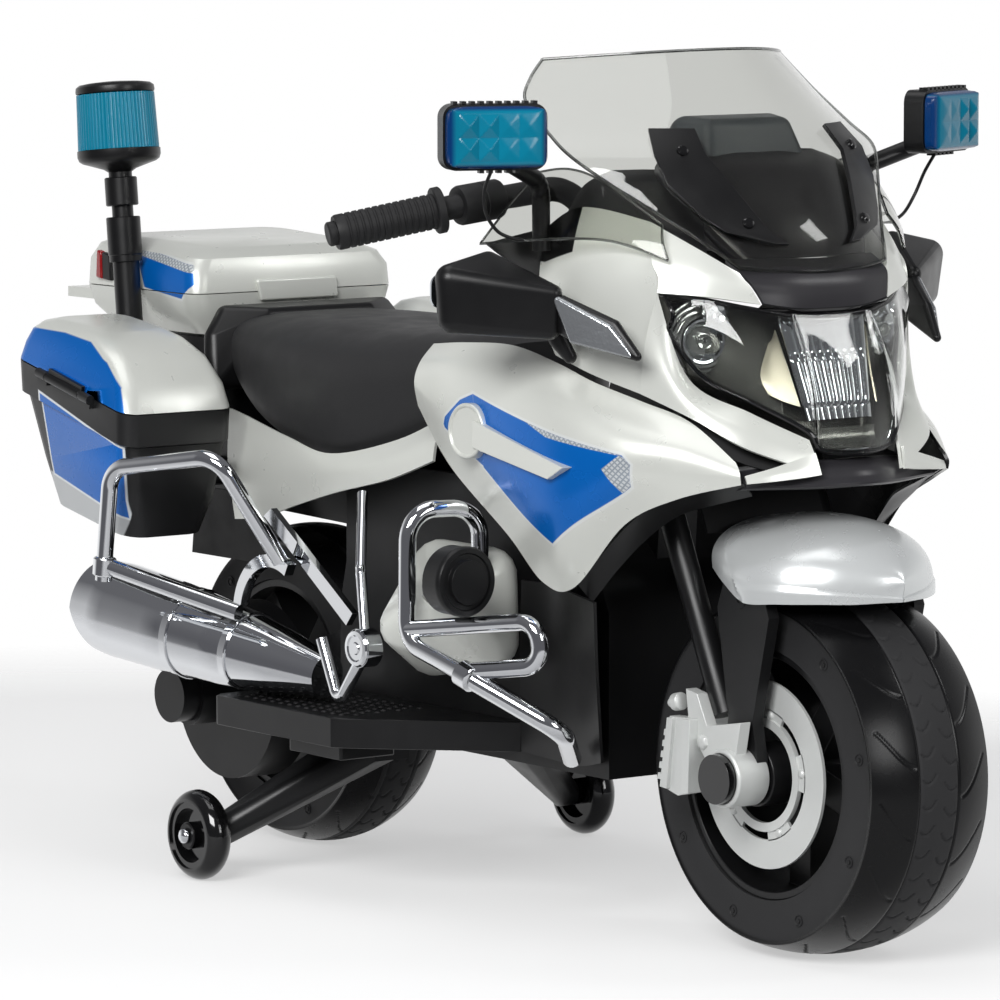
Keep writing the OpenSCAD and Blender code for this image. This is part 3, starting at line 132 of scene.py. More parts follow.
def lamp(name, place, size, watts):
    """A soft box that faces the middle of the object."""
    light = bpy.data.objects.new(name, bpy.data.lights.new(name, "AREA"))
    light.data.shape = "RECTANGLE"
    light.data.size, light.data.size_y = size
    light.data.energy = watts
    light.location = place
    light.rotation_euler = (Vector((0, 0, 0.4)) - Vector(place)).to_track_quat("-Z", "Y").to_euler()
    scene.collection.objects.link(light)


lamp("key", (2.2, -3.4, 2.6), (2.4, 1.7), 198)
lamp("front", (4.4, 0.2, 1.6), (1.4, 1.6), 44)
lamp("window", (2.0, 1.9, 2.45), (0.55, 0.85), 13)
lamp("top", (-0.2, -0.4, 3.3), (2.6, 1.6), 25)

floor_mat = bpy.data.materials.new("floor")
floor_mat.use_nodes = True
sock = Sock(floor_mat.node_tree)
fx, fy, _ = sock.make("TexCoord", pick=3).parts()
fx, fy = fx * 0.8, fy * 1.15
fade_from, fade_over = 0.72, 0.8
far = ((fx * fx + fy * fy).root() - fade_from) / fade_over
bsdf = floor_mat.node_tree.nodes["Principled BSDF"]
for key, value in (("Base Color", lin(248, 248, 248)), ("Roughness", 0.7),
                   ("Specular IOR Level", 0.2)):
    bsdf.inputs[key].default_value = value
shade = sock.make("MixShader", {0: far.clip().most(0.5), 1: Sock(sock.tree, bsdf.outputs[0]),
                                2: sock.make("BsdfTransparent")})
shade.feed("Material Output", "Surface")
floor_mesh = bpy.data.meshes.new("floor")
reach = 6
floor_mesh.from_pydata([(-reach, -reach, 0), (reach, -reach, 0), (reach, reach, 0), (-reach, reach, 0)],
                       [], [(0, 1, 2, 3)])
floor_mesh.materials.append(floor_mat)
floor = bpy.data.objects.new("floor", floor_mesh)
scene.collection.objects.link(floor)

# Tub and drive: one black blow-moulded shell carries everything and holds a sealed battery, a motor
# and a gear train in its case. Two thin moulded skirts close it ahead of the footboards. All shapes
# are drawn in millimetres, in the frame of the CAD.
MM = 0.001
soften = bpy.data.node_groups.new("soften", "GeometryNodeTree")
soften.interface.new_socket("Geometry", in_out="INPUT", socket_type="NodeSocketGeometry")
soften.interface.new_socket("Geometry", in_out="OUTPUT", socket_type="NodeSocketGeometry")
chain = [soften.nodes.new(k) for k in ("NodeGroupInput", "GeometryNodeMergeByDistance",
                                       "GeometryNodeRemoveAttribute", "GeometryNodeSetShadeSmooth",
                                       "GeometryNodeSetShadeSmooth", "NodeGroupOutput")]
for a, b in zip(chain, chain[1:]):
    soften.links.new(a.outputs[0], b.inputs[0])
chain[1].inputs["Distance"].default_value = 1e-5
chain[2].inputs["Name"].default_value = "custom_normal"
chain[4].domain = "EDGE"
angle = soften.nodes.new("GeometryNodeInputMeshEdgeAngle")
compare = soften.nodes.new("FunctionNodeCompare")
compare.operation = "LESS_THAN"
compare.inputs[1].default_value = math.radians(32)
soften.links.new(angle.outputs[0], compare.inputs[0])
soften.links.new(compare.outputs[0], chain[4].inputs["Shade Smooth"])


def bevelled(obj, width, segments):
    """Rounds the sharp edges of an object."""
    mod = obj.modifiers.new("bevel", "BEVEL")
    mod.width, mod.segments, mod.limit_method = width * MM, segments, "ANGLE"
    mod.angle_limit = math.radians(40)


def paint(mat, *names, bevel=0.0):
    """Gives CAD nodes their finish, smooth shading and worn-in edges."""
    for name in names:
        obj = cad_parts[name]
        obj.data.materials.clear()
        obj.data.materials.append(mat)
        obj.modifiers.new("soften", "NODES").node_group = soften
        if bevel:
            bevelled(obj, bevel, 2)


def finish(name, colour, rough, metal=0.0, coat=0.0, grain=0.0, grain_size=1.2, vary=0.05, decal=None,
           **sockets):
    """A moulded or plated finish: uneven gloss, faint colour drift and a fine grain."""
    mat = bpy.data.materials.new(name)
    mat.use_nodes = True
    node = mat.node_tree.nodes["Principled BSDF"]
    sockets.update(Metallic=metal, Coat_Weight=coat, Coat_Roughness=0.06)
    for key, value in sockets.items():
        node.inputs[key.replace("_", " ")].default_value = value
    place = Sock(mat.node_tree).make("TexCoord", pick=3)
    drift = place.noise(9.0)
    deep = lin(*(c * (1 - vary) for c in colour))
    pale = lin(*(min(255, c * (1 + vary)) for c in colour))
    tint = drift.blend(deep, pale)
    gloss = place.noise(38.0, 3.0) * (rough * 0.5) + rough * 0.75
    if decal:
        tint, gloss = decal(place.stretched((1 / MM,) * 3), tint, gloss)
    tint.feed("Principled BSDF", "Base Color")
    gloss.feed("Principled BSDF", "Roughness")
    if grain:
        fine = place.noise(1 / MM / grain_size)
        bump = fine.make("Bump", {"Height": fine, "Strength": 0.6, "Distance": grain * MM})
        bump.feed("Principled BSDF", "Normal")
    return mat


def row(p, n):
    """Points along a smooth curve through p, n to each span."""
    p = np.asarray(p, float)
    m = len(p) - 1
    out = []
    for i in range(m):
        a, b, c, d = p[max(i - 1, 0)], p[i], p[i + 1], p[min(i + 2, m)]
        for t in np.arange(n) / n:
            out.append((2 * b + (c - a) * t + (2 * a - 5 * b + 4 * c - d) * t ** 2
                        + (3 * b - a - 3 * c + d) * t ** 3) / 2)
    return np.array(out + [p[m]])


def smooth(rows, n):
    """Rows drawn in between the given ones, n to each span."""
    rows = np.asarray(rows, float)
    return np.array([row(rows[:, j], n) for j in range(rows.shape[1])]).transpose(1, 0, 2)


def grid(g, nu, nv):
    """A smooth surface through a few rows of points."""
    return smooth([row(r, nv) for r in g], nu)


def normals(g):
    """Unit normals of a grid."""
    n = np.cross(np.gradient(g, axis=0), np.gradient(g, axis=1))
    return n / np.maximum(np.linalg.norm(n, axis=2, keepdims=True), 1e-9)


def slab(g, h):
    """The solid between two grids of the same size."""
    r, c = g.shape[:2]
    m = r * c
    idx = np.arange(m).reshape(r, c)
    quads = [(idx[i, j], idx[i, j + 1], idx[i + 1, j + 1], idx[i + 1, j])
             for i in range(r - 1) for j in range(c - 1)]
    edge = list(idx[0]) + list(idx[1:, -1]) + list(idx[-1, -2::-1]) + list(idx[-2:0:-1, 0])
    rim = [(b, a, a + m, b + m) for a, b in zip(edge, edge[1:] + edge[:1])]
    return np.vstack([g.reshape(-1, 3), h.reshape(-1, 3)]), \
        quads + [tuple(k + m for k in q[::-1]) for q in quads] + rim


def sheet(g, d):
    """A wall of even thickness on a grid."""
    return slab(g, g + d * normals(g))


def joined(*shapes):
    """Several shapes as one mesh."""
    verts, faces, start = [], [], 0
    for v, f in shapes:
        verts.append(np.asarray(v))
        faces += [tuple(int(k) + start for k in q) for q in f]
        start += len(v)
    return np.vstack(verts), faces


def mirrored(shape):
    """The same shape on the other side of the middle plane."""
    return np.asarray(shape[0]) * (1, -1, 1), [q[::-1] for q in shape[1]]


def both(*shapes):
    """Shapes of the right side together with those of the left."""
    one = joined(*shapes)
    return joined(one, mirrored(one))


def piece(name, shape, mat, body="chassis", node=None, sharp=35, bevel=0.0):
    """Adds a mesh, or the skin around bare points, that rides on a body and may replace a CAD node."""
    points, faces = (shape, None) if isinstance(shape, np.ndarray) else shape
    mesh = bpy.data.meshes.new(name)
    bm = bmesh.new()
    for v in np.asarray(points, float) * MM:
        bm.verts.new(v)
    bm.verts.ensure_lookup_table()
    for f in faces or ():
        bm.faces.new([bm.verts[int(k)] for k in f])
    if faces is None:
        bmesh.ops.convex_hull(bm, input=bm.verts)
        inner = [v for v in bm.verts if not v.link_faces]
        bmesh.ops.delete(bm, geom=inner, context="VERTS")
    bmesh.ops.recalc_face_normals(bm, faces=bm.faces)
    for f in bm.faces:
        f.smooth = True
    bm.to_mesh(mesh)
    bm.free()
    mesh.materials.append(mat)
    mesh.set_sharp_from_angle(angle=math.radians(sharp))
    obj = bpy.data.objects.new(name, mesh)
    scene.collection.objects.link(obj)
    if bevel:
        bevelled(obj, bevel, 3)
    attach(obj, body)
    if node:
        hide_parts(node)


satin_black = finish("satin_black", (19, 19, 20), 0.34, grain=0.03, Specular_IOR_Level=0.32)
dark_case = finish("dark_case", (44, 46, 52), 0.4, grain=0.04)
steel = finish("steel", (150, 153, 158), 0.3, metal=0.9)
nylon = finish("nylon", (226, 222, 208), 0.45)
brass = finish("brass", (190, 150, 78), 0.3, metal=0.9)
paint(satin_black, "main_frame", "gear_case", bevel=1.5)
paint(dark_case, "battery")
paint(steel, "drive_motor", "rear_axle")
paint(nylon, "idler_gear")
paint(brass, "motor_pinion")
skirt_rows = [[(158, -101, 310), (158, -103, 230), (158, -101, 152)],
              [(215, -111, 312), (212, -109, 230), (208, -102, 150)],
              [(280, -136, 312), (268, -122, 235), (252, -105, 150)],
              [(338, -156, 311), (318, -138, 245), (292, -112, 158)]]
piece("belly_skin", both(sheet(grid(skirt_rows, 8, 8), 3)), satin_black, node="belly_fairing")

# Tyres: hollow blow-moulded black plastic. The grooves of the tread are moulded into the crown, and
# nine screws in the flange hold each tyre on its rim.
groove_y = 21


def unit(v):
    v = np.asarray(v, float)
    return v / np.linalg.norm(v)


def loft(rings, caps=True):
    """A skin over rings of the same count."""
    n = len(rings[0])
    faces = [(i * n + j, i * n + (j + 1) % n, (i + 1) * n + (j + 1) % n, (i + 1) * n + j)
             for i in range(len(rings) - 1) for j in range(n)]
    if caps:
        faces += [tuple(range(n))[::-1], tuple((len(rings) - 1) * n + j for j in range(n))]
    return np.vstack(rings), faces


def across(axis):
    """The unit axis and two directions square to it."""
    a = unit(axis)
    u = unit(np.cross(a, (0.31, 0.17, 0.93) if abs(a[2]) < 0.9 else (1, 0, 0)))
    return a, u, np.cross(a, u)


def circle(u, v, n):
    """A unit circle in the plane of u and v."""
    t = np.arange(n) * 2 * np.pi / n
    return np.outer(np.cos(t), u) + np.outer(np.sin(t), v)


def lathe(profile, centre, axis, n=48):
    """A solid turned about an axis; the profile holds radius and place along the axis."""
    a, u, v = across(axis)
    turned = circle(u, v, n)
    return loft([np.asarray(centre) + max(r, 0.01) * turned + s * a for r, s in profile])


matte_black = finish("matte_black", (24, 24, 25), 0.58, grain=0.06, grain_size=0.9,
                     Specular_IOR_Level=0.35)


def tyre_finish(name, axle, flange_r):
    """Black plastic, dull where the tread meets the road and on the flange."""
    def worn(p, tint, gloss):
        x, y, z = p.parts()
        x, z = x - axle[0], z - axle[2]
        radius = (x * x + z * z).root()
        dust = (groove_y - abs(y)).inside(0.4).most((flange_r - radius).inside(1.0))
        return dust.blend(lin(13, 13, 14), lin(40, 40, 41)), gloss + dust * 0.36
    return finish(name, (18, 18, 19), 0.26, grain=0.02, decal=worn, Specular_IOR_Level=0.25)


def tyre(axle, r, w, turns, fine):
    """A hollow tyre; its tread is drawn for a width of 132 and narrows with w."""
    drop, bead = 14.0, r - 53
    crown = ((w / 2) ** 2 + drop ** 2) / (2 * drop)
    k = w / 132
    ys = np.linspace(-w / 2, w / 2, fine)
    profile = [(-w / 2 + 8, bead), (-w / 2 + 1.6, bead), (-w / 2 + 1.6, r - drop - 5),
               (-w / 2, r - drop - 3.4)]
    profile += [(y, r - crown + math.sqrt(crown ** 2 - y ** 2)) for y in ys]
    profile += [(-y, q) for y, q in profile[3::-1]]
    profile = np.array(profile)
    theta = np.arange(turns) * 2 * np.pi / turns
    arc = theta[:, None] * r
    y = profile[None, :, 0]
    side = abs(y) / k

    def cut(offset, width):
        return np.clip(1.5 - abs(offset) / width * 1.5, 0, 1)

    lap = 2 * np.pi * r
    pitch_in, pitch_out = lap / round(lap / 23), lap / round(lap / 64)
    s_in = (arc + np.sign(y) * 4 + 9 * np.sin((side - 4) / 15 * np.pi * 0.8)) % pitch_in - pitch_in / 2
    s_out = (arc + 26 * np.cos((side - 24) / 38 * np.pi * 0.7) + np.sign(y) * 15) % pitch_out
    groove = cut(side - groove_y, 1.3) + 0 * arc
    inner, outer = (side > 4) & (side < 19), (side > 26) & (side < 58)
    groove = np.maximum(groove, 1.2 * cut(s_in, 1.5) * inner)
    groove = np.maximum(groove, 1.1 * cut(s_out - pitch_out / 2, 2.0) * outer)
    groove[:, :4] = 0
    groove[:, -4:] = 0
    radius = profile[None, :, 1] - groove
    v = np.stack([axle[0] + radius * np.cos(theta)[:, None], axle[1] + y + 0 * arc,
                  axle[2] + radius * np.sin(theta)[:, None]], -1)
    m = v.shape[1]
    faces = []
    for i in range(turns):
        a, b = i * m, (i + 1) % turns * m
        faces += [(a + j, a + (j + 1) % m, b + (j + 1) % m, b + j) for j in range(m)]
    return v.reshape(-1, 3), faces


def ring_of(profile, axle, radius, y, count, start=0.0, n=16):
    """Turned parts set around an axle."""
    out = []
    for k in range(count):
        a = math.radians(start + 360 * k / count)
        out.append(lathe(profile, (axle[0] + radius * math.cos(a), y, axle[2] + radius * math.sin(a)),
                         (0, 1 if y > 0 else -1, 0), n))
    return joined(*out)


front_at, rear_at = (465.0, 0.0, 165.0), (-311.0, 0.0, 157.0)
screw = [(0, 1.0), (2.0, 1.0), (2.3, -0.6), (3.4, -0.6), (4.2, 0.3), (4.6, 0.9), (5.4, 0.6),
         (5.6, -1.5)]
flange_in, screw_in, screw_sunk = 18, 31, 1.6
for name, axle, r, w, turns, fine in (("front", front_at, 165, 132, 960, 81),
                                      ("rear", rear_at, 157, 96, 720, 57)):
    piece(name + "_tyre_skin", tyre(axle, r, w, turns, fine),
          tyre_finish(name + "_rubber", axle, r - flange_in), name + "_wheel", name + "_tyre",
          sharp=50)
    screws = ring_of(screw, axle, r - screw_in, screw_sunk - w / 2, 9, 12)
    piece(name + "_tyre_screws", both(screws), matte_black, name + "_wheel")

# Rims, brake discs and stabilisers: black moulded rims, riveted discs of silver plastic with a cast
# look, and two small glossy wheels on brackets, each held by a plated bolt in a black cap.
gloss_black = finish("gloss_black", (12, 12, 13), 0.1, coat=0.4)
chrome = finish("chrome", (226, 228, 231), 0.06, metal=1.0, vary=0.01)
cast_silver = finish("cast_silver", (206, 208, 206), 0.42, metal=0.35, grain=0.12, grain_size=0.8)
paint(satin_black, "front_rim", "rear_rim", bevel=1.0)
rivet = [(0, 2.6), (2.4, 2.3), (3.8, 1.2), (4.2, 0), (4.2, -1)]


def wheel_ring(r0, r1, y0, y1, a0=0, a1=360, n=96):
    """A flat ring or a part of one about the front axle."""
    t = np.radians(np.linspace(a0, a1, n))
    corners = [np.stack([front_at[0] + r * np.cos(t), y + 0 * t, front_at[2] + r * np.sin(t)], -1)
               for r, y in ((r0, y0), (r0, y1), (r1, y1), (r1, y0))]
    return loft(list(np.stack(corners, 1)), caps=a1 - a0 < 360)


disc = [wheel_ring(58, 84, -62, -65), wheel_ring(43, 51, -62, -66.6)]
disc += [wheel_ring(50, 59, -62, -65, 72 * k - 10, 72 * k + 24, 12) for k in range(5)]
piece("disc_skin", both(*disc, ring_of(rivet, front_at, 54.5, -65, 5, 7)), cast_silver, "front_wheel",
      "brake_discs")
paint(satin_black, "stabiliser_brackets", bevel=1.5)
paint(gloss_black, "stabiliser_wheel_right", "stabiliser_wheel_left")
bolt = [(0, 4.2), (3.4, 4.0), (6.2, 2.6), (7.4, 0.4), (7.4, -1)]
cap = [(6, -2.0), (12.6, -2.0), (12.6, 1.2), (11.4, 2.2), (6, 2.2)]
for side, body in ((-1, "right_stabiliser"), (1, "left_stabiliser")):
    piece("stabiliser_cap_" + body, lathe(cap, (-182, side * 241.5, 43), (0, side, 0)), satin_black,
          body)
piece("stabiliser_bolts", both(lathe(bolt, (-182, -246.2, 43), (0, -1, 0), 24)), chrome)

# Front end on the fork: ribbed silver plastic calipers with a pin, black axle caps, and a silver
# mudguard with a folded rear corner and a rolled lip, screwed to the black blades. A black shroud
# fills the gap between them.


def prism(corners, y0, y1):
    """A plate drawn in X and Z."""
    return loft([np.array([(x, y, z) for x, z in corners]) for y in (y0, y1)])


paint(satin_black, "fork", bevel=1.0)
paint(gloss_black, "front_axle", bevel=2.0)
caliper = [prism([(389, 212), (425, 213), (423, 147), (401, 142), (378, 148)], -98, -110),
           prism([(415, 212), (425, 213), (423, 147), (413, 145)], -109, -116),
           prism([(390, 211), (398, 211), (390, 147), (380, 148)], -109, -114),
           prism([(407, 238), (423, 235), (437, 208), (484, 216), (478, 186), (435, 178), (412, 204)],
                 -94, -106)]
for k in range(5):
    x, z = 374 + k * 2.2, 154 + 10 * k
    caliper.append(prism([(x, z), (x + 8, z), (x + 9, z + 6), (x + 1, z + 6)], -99, -112))
pin = [(0, 18), (4, 17), (5, 11), (8, 10), (8, 1), (6, 0)]
pins = [lathe(pin, (400, -104, 226), (-0.95, 0, -0.2), 20),
        lathe(bolt, (432, -105.6, 193), (0, -1, 0), 6)]
barrel = [(19, -34), (25, -34), (26.2, -32), (26.2, -0.6), (24.6, 1.2), (22.5, 1.2), (22.5, 0)]
caliper += pins + [lathe(barrel, np.add(front_at, (0, -111.4, 0)), (0, -1, 0), 64)]
piece("caliper_skin", both(*caliper), cast_silver, "steering", "brake_calipers",
      bevel=0.8)
blade_screw = [(0, -3), (4, -3), (4.2, 0.8), (8.5, 0.8), (9, -0.5)]
piece("fork_screws", both(lathe(blade_screw, (462, -89, 322), (0, -1, 0), 24)), matte_black,
      "steering")
mudguard_stations = [(400, 79, 343, 386), (440, 94, 334, 391), (478, 98, 321, 391),
                     (512, 88, 322, 385), (540, 66, 323, 374), (559, 42, 323, 361),
                     (571, 20, 324, 350), (577, 0.4, 324, 340)]
arc = np.linspace(-1, 1, 121)
arches = [np.stack([x + (1 - arc ** 2) * 3, w * np.sin(arc * np.pi / 2),
                    z0 + (z1 - z0) * np.cos(arc * np.pi / 2).clip(0) ** 0.75], -1)
          for x, w, z0, z1 in mudguard_stations]
guard = smooth(arches, 14)
fold_at = 402 + 74 * ((abs(arc) - 0.4).clip(0) / 0.6) ** 1.4
fold = 0.09 * (fold_at[None, :] - guard[:, :, 0]).clip(0)
lip = 1.5 * ((abs(arc)[None, :] - 0.9) / 0.03).clip(0, 1) * (fold <= 0)
guard = guard + (lip - fold)[:, :, None] * normals(guard)
mudguard_silver = finish("mudguard_silver", (210, 213, 213), 0.26, metal=0.4, coat=0.08, vary=0.015)
piece("mudguard_skin", sheet(guard, -3.5), mudguard_silver, "steering", "front_mudguard", sharp=25)
inner = (guard - 4.4 * normals(guard))[6:-6, 6:-6]
piece("mudguard_liner", sheet(inner, -1.6), matte_black, "steering")
shroud = grid([[(390, -68, 372), (393, 0, 372), (390, 68, 372)],
               [(368, -68, 424), (372, 0, 424), (368, 68, 424)]], 4, 4)
piece("fork_shroud", sheet(shroud, 2), matte_black, "steering")

# Handlebar: a bent black tube with a switch housing on each side. The left grip is moulded on, the
# right one twists and springs back; both are ringed plastic with a collar. The start button is red.


def bent(path, bend, step=6):
    """A route of straight runs with round bends."""
    p = [np.asarray(q, float) for q in path]
    out = [p[0]]
    for a, b, c in zip(p, p[1:], p[2:]):
        u, w = unit(b - a), unit(c - b)
        turn = math.acos(np.clip(u @ w, -1, 1))
        n = unit(w - (w @ u) * u)
        o = b - u * bend * math.tan(turn / 2) + n * bend
        m = max(2, math.ceil(math.degrees(turn) / step))
        out += [o + bend * (u * math.sin(t) - n * math.cos(t)) for t in np.linspace(0, turn, m + 1)]
    return np.array(out + [p[-1]])


def tube(p, r, n=20):
    """A round bar along a path."""
    p = np.asarray(p, float)
    t = np.gradient(p, axis=0)
    side = np.cross(unit(t[0]), (0.6, 0.3, 0.74))
    rings = []
    for q, d in zip(p, t):
        d = unit(d)
        side = unit(side - (side @ d) * d)
        rings.append(q + r * circle(side, np.cross(d, side), n))
    return loft(rings)


red_button = finish("red_button", (176, 24, 24), 0.3)
bar_end = np.array((158, -318, 634.0))
bar_flange = np.array((203, -206, 658.0))
bar_elbow = np.array((214, -96, 672.0))
bar_dir, switch_dir = unit(bar_end - bar_flange), unit(bar_flange - bar_elbow)
rake = math.radians(25)
lean = np.array((-math.sin(rake), 0, math.cos(rake)))
ahead = np.array((math.cos(rake), 0, math.sin(rake)))
bar_foot = np.array((435, -40, 165)) + 473.6 * lean + 25 * math.cos(rake) * ahead
bar = tube(bent([bar_foot, bar_elbow, bar_flange - 12 * switch_dir], 30), 11, 24)
bar_tip = lathe([(9.6, 0), (11, 1), (11, 134), (9.6, 135.5)], bar_flange - 14 * bar_dir, bar_dir, 32)
housing = [(14, 0), (17, 1), (18, 3), (18, 20), (17.2, 20.6), (17.2, 22), (18, 22.6), (18, 41),
           (17, 43.5), (14, 44)]
switch = lathe(housing, bar_flange - 44 * switch_dir, switch_dir, 48)
grip = [(12, 0), (20, 0), (21, 1), (21, 7), (20, 8), (16, 8.6)]
for k in range(13):
    grip += [(16, 11 + 6.4 * k), (15.1, 11.8 + 6.4 * k), (15.1, 13.2 + 6.4 * k), (16, 14 + 6.4 * k)]
grip += [(16, 98), (15, 100), (11.1, 100)]
grip_at = bar_flange + 14 * bar_dir
grip_right = lathe(grip, grip_at, bar_dir, 48)
piece("handlebar_skin", joined(both(bar, bar_tip, switch), mirrored(grip_right)), matte_black,
      "steering", "handlebar")
piece("throttle_skin", grip_right, matte_black, "throttle", "throttle_grip")
paint(red_button, "start_button", bevel=0.6)

# Side fairings: silver blow-moulded panels on the tub, with a blue printed field, a strip of hatched
# reflective tape, a bare badge disc and a spear-shaped arm. A black liner closes the wheel arch behind
# the lower edge.


def polygon(x, z, corners):
    """Distance to the nearest edge of a convex polygon, positive inside."""
    area = sum(p[0] * q[1] - q[0] * p[1] for p, q in zip(corners, corners[1:] + corners[:1]))
    depth = None
    for p, q in zip(corners, corners[1:] + corners[:1]):
        dx, dz = q[0] - p[0], q[1] - p[1]
        k = math.copysign(1 / math.hypot(dx, dz), area)
        edge = z * (dx * k) - x * (dz * k) + (p[0] * dz - p[1] * dx) * k
        depth = edge if depth is None else depth.least(edge)
    return depth


def silvered(name, decal=None):
    """Silver-coloured plastic, with or without a print."""
    return finish(name, (212, 214, 208), 0.3, metal=0.28, coat=0.08, vary=0.015, decal=decal,
                  Specular_IOR_Level=0.3)


silver = silvered("silver")
blue = lin(0, 98, 184)
fairing_stations = [
    [(84, -146, 524), (82, -160, 508), (81, -166, 490), (84, -164, 468)],
    [(150, -157, 530), (150, -178, 508), (149, -182, 465), (148, -174, 418)],
    [(230, -164, 533), (232, -190, 503), (238, -196, 440), (241, -178, 364)],
    [(298, -166, 522), (302, -195, 488), (306, -200, 410), (286, -172, 325)],
    [(345, -161, 508), (350, -192, 474), (352, -196, 405), (326, -167, 325)],
    [(395, -147, 494), (400, -176, 462), (400, -178, 428), (388, -160, 385)],
    [(440, -128, 478), (447, -148, 457), (449, -151, 437), (446, -146, 412)],
    [(490, -117, 446), (496, -118, 440), (499, -119, 434), (499, -118, 427)]]


def hatch(x, z, size):
    """Thin crossed lines, as on reflective tape."""
    a = abs(((x + z) / size).fraction() - 0.5)
    b = abs(((x - z) / size).fraction() - 0.5)
    return ((a.least(b) - 0.12) * 8).clip()


def taped(x, z, tint, gloss, shapes, tape):
    """A blue printed field with a pale edge and strips of reflective tape."""
    field = None
    for corners in shapes:
        d = polygon(x, z, corners)
        field = d if field is None else field.most(d)
    on = field.inside(0.4)
    net = hatch(x, z, 5.0).blend(lin(150, 158, 166), lin(206, 210, 212))
    edge = (1.2 - abs(field + 1.2)).inside(0.3) * 0.35
    tint = edge.blend(on.blend(tint, blue), lin(232, 236, 240))
    for corners in tape:
        tint = (polygon(x, z, corners).inside(0.4) * on).blend(tint, net)
    return tint, gloss - on * 0.04


def fairing_mark(p, tint, gloss):
    """The print on the outer face, and painted shade: the inner face, which lies in shadow, is coloured
    black.
    """
    x, y, z = p.parts()
    _, facing, _ = p.make("NewGeometry", pick=1).parts()
    # Painted shade: a face turned towards the middle plane is made black, in place of the shadow inside
    # the fairing.
    back = (facing * y * -0.05 - 1.5).clip()
    shapes = [[(205, 489), (406, 449), (413, 441), (409, 420), (401, 415), (327, 360), (221, 424)],
              [(205, 489), (224, 424), (214, 428), (150, 452), (147, 457), (151, 464), (182, 482)]]
    tape = [[(226, 482), (321, 472), (404, 449), (390, 436), (325, 460), (228, 474)],
            [(404, 449), (414, 443), (409, 419), (400, 415), (388, 436)]]
    tint, gloss = taped(x, z, tint, gloss, shapes, tape)
    return back.blend(tint, lin(20, 20, 21)), gloss


fairing_silver = silvered("fairing_silver", fairing_mark)
side_sheet = sheet(grid(fairing_stations, 9, 12), 3)
piece("side_skin_right", side_sheet, fairing_silver, node="side_fairing_right")
piece("side_skin_left", mirrored(side_sheet), fairing_silver, node="side_fairing_left")
badge = [(25, -8), (25, 13), (24, 14.4), (22.4, 14.4), (21.4, 13.2), (21.4, 12.4), (0, 12.4)]
arm = loft([np.array([(220, y0, 467), (220, y0, 442), (338, y1, 424), (360, y1, 436)])
            for y0, y1 in ((-188, -194), (-201, -206), (-202.5, -207.5))])
piece("badge_arms", both(lathe(badge, (208, -188, 456), (0.06, -1, 0.04), 64), arm), silver,
      bevel=1.2)
arch_rows = [[(497, -114, 428), (452, -140, 416), (430, -150, 408), (404, -157, 394), (366, -158, 366),
              (324, -163, 327)],
             [(482, -92, 414), (440, -110, 402), (414, -122, 392), (384, -132, 370), (350, -138, 340),
              (318, -142, 308)]]
piece("arch_liners", both(sheet(grid(arch_rows, 4, 6), 2)), satin_black)

# Upper fairings: silver moulded panels, each with a rear part that forks into a brow above the
# headlight and a cheek with a lip below it. Black mouldings close the gaps: the dash, the ducts, the
# nose panel and the beak.


def spread(rows):
    """Rows that start on the middle plane, carried on to the other side."""
    return [r[:0:-1] + [(x, -y, z) for x, y, z in r] for r in rows]


upper_rear = [[(255, -160, 628), (268, -172, 600), (280, -176, 570), (298, -168, 529)],
              [(314, -154, 660), (331, -167, 619), (342, -171, 575), (346, -164, 515)],
              [(384, -129, 650), (400, -140, 618), (412, -143, 590), (398, -151, 501)]]
upper_brow = [[(384, -129, 650), (400, -140, 618), (412, -143, 590)],
              [(424, -106, 627), (434, -111, 608), (441, -113, 587)],
              [(453, -84, 607), (462, -78, 594), (468, -72, 580)]]
upper_cheek = [[(412, -143, 590), (404, -150, 546), (398, -151, 501)],
               [(427, -119, 514), (438, -128, 498), (444, -129, 481)],
               [(474, -87, 486), (484, -97, 472), (489, -104, 457)],
               [(509, -50, 463), (516, -48, 448), (521, -46, 434)]]
upper_lip = [[(515, -49, 452), (518, -48, 443), (521, -47, 433)],
             [(510, -66, 446), (514, -65, 438), (516, -64, 431)],
             [(505, -90, 439), (508, -90, 434), (509, -90, 429)],
             [(496, -112, 433), (498, -112, 430), (499, -112, 427)]]


def upper_mark(p, tint, gloss):
    """The black rear corner."""
    x, _, z = p.parts()
    corner = polygon(x, z, [(240, 612), (285, 611), (322, 622), (317, 670), (240, 670)])
    return corner.inside(0.5).blend(tint, lin(22, 22, 23)), gloss


uppers = [sheet(grid(g, 10, 10), 3) for g in (upper_rear, upper_brow, upper_cheek, upper_lip)]
piece("upper_skin", both(*uppers), silvered("upper_silver", upper_mark), node="upper_fairings")
dash_rows = [[(256, -214, 627), (263, -190, 633), (271, -158, 640)],
             [(262, -206, 619), (270, -189, 606), (279, -173, 596)]]
piece("dash_sides", both(sheet(grid(dash_rows, 4, 4), 2)), satin_black)
dash_top = [[(300, -157, 654), (290, -130, 678), (286, -96, 690)],
            [(350, -142, 654), (335, -118, 678), (330, -84, 692)],
            [(400, -120, 640), (380, -104, 668), (368, -80, 690)],
            [(430, -101, 621), (413, -92, 645), (398, -76, 672)]]
piece("dash_tops", both(sheet(grid(dash_top, 6, 6), -2)), satin_black)
duct_rows = [[(430, -116, 484), (462, -92, 474), (500, -56, 446)],
             [(436, -128, 470), (474, -106, 446), (500, -72, 434)]]
piece("duct_backs", both(sheet(grid(duct_rows, 6, 4), -2)), matte_black)
nose_rows = [[(477, 0, 574), (476, -38, 575), (469.5, -69.5, 580)],
             [(475, 0, 588), (473, -40, 589), (464, -75, 593)],
             [(470, 0, 601), (467, -42, 602), (455, -81, 605)],
             [(455, 0, 617), (451, -42, 618), (431, -82, 617)]]
nose_grid = grid(spread(nose_rows), 8, 6)
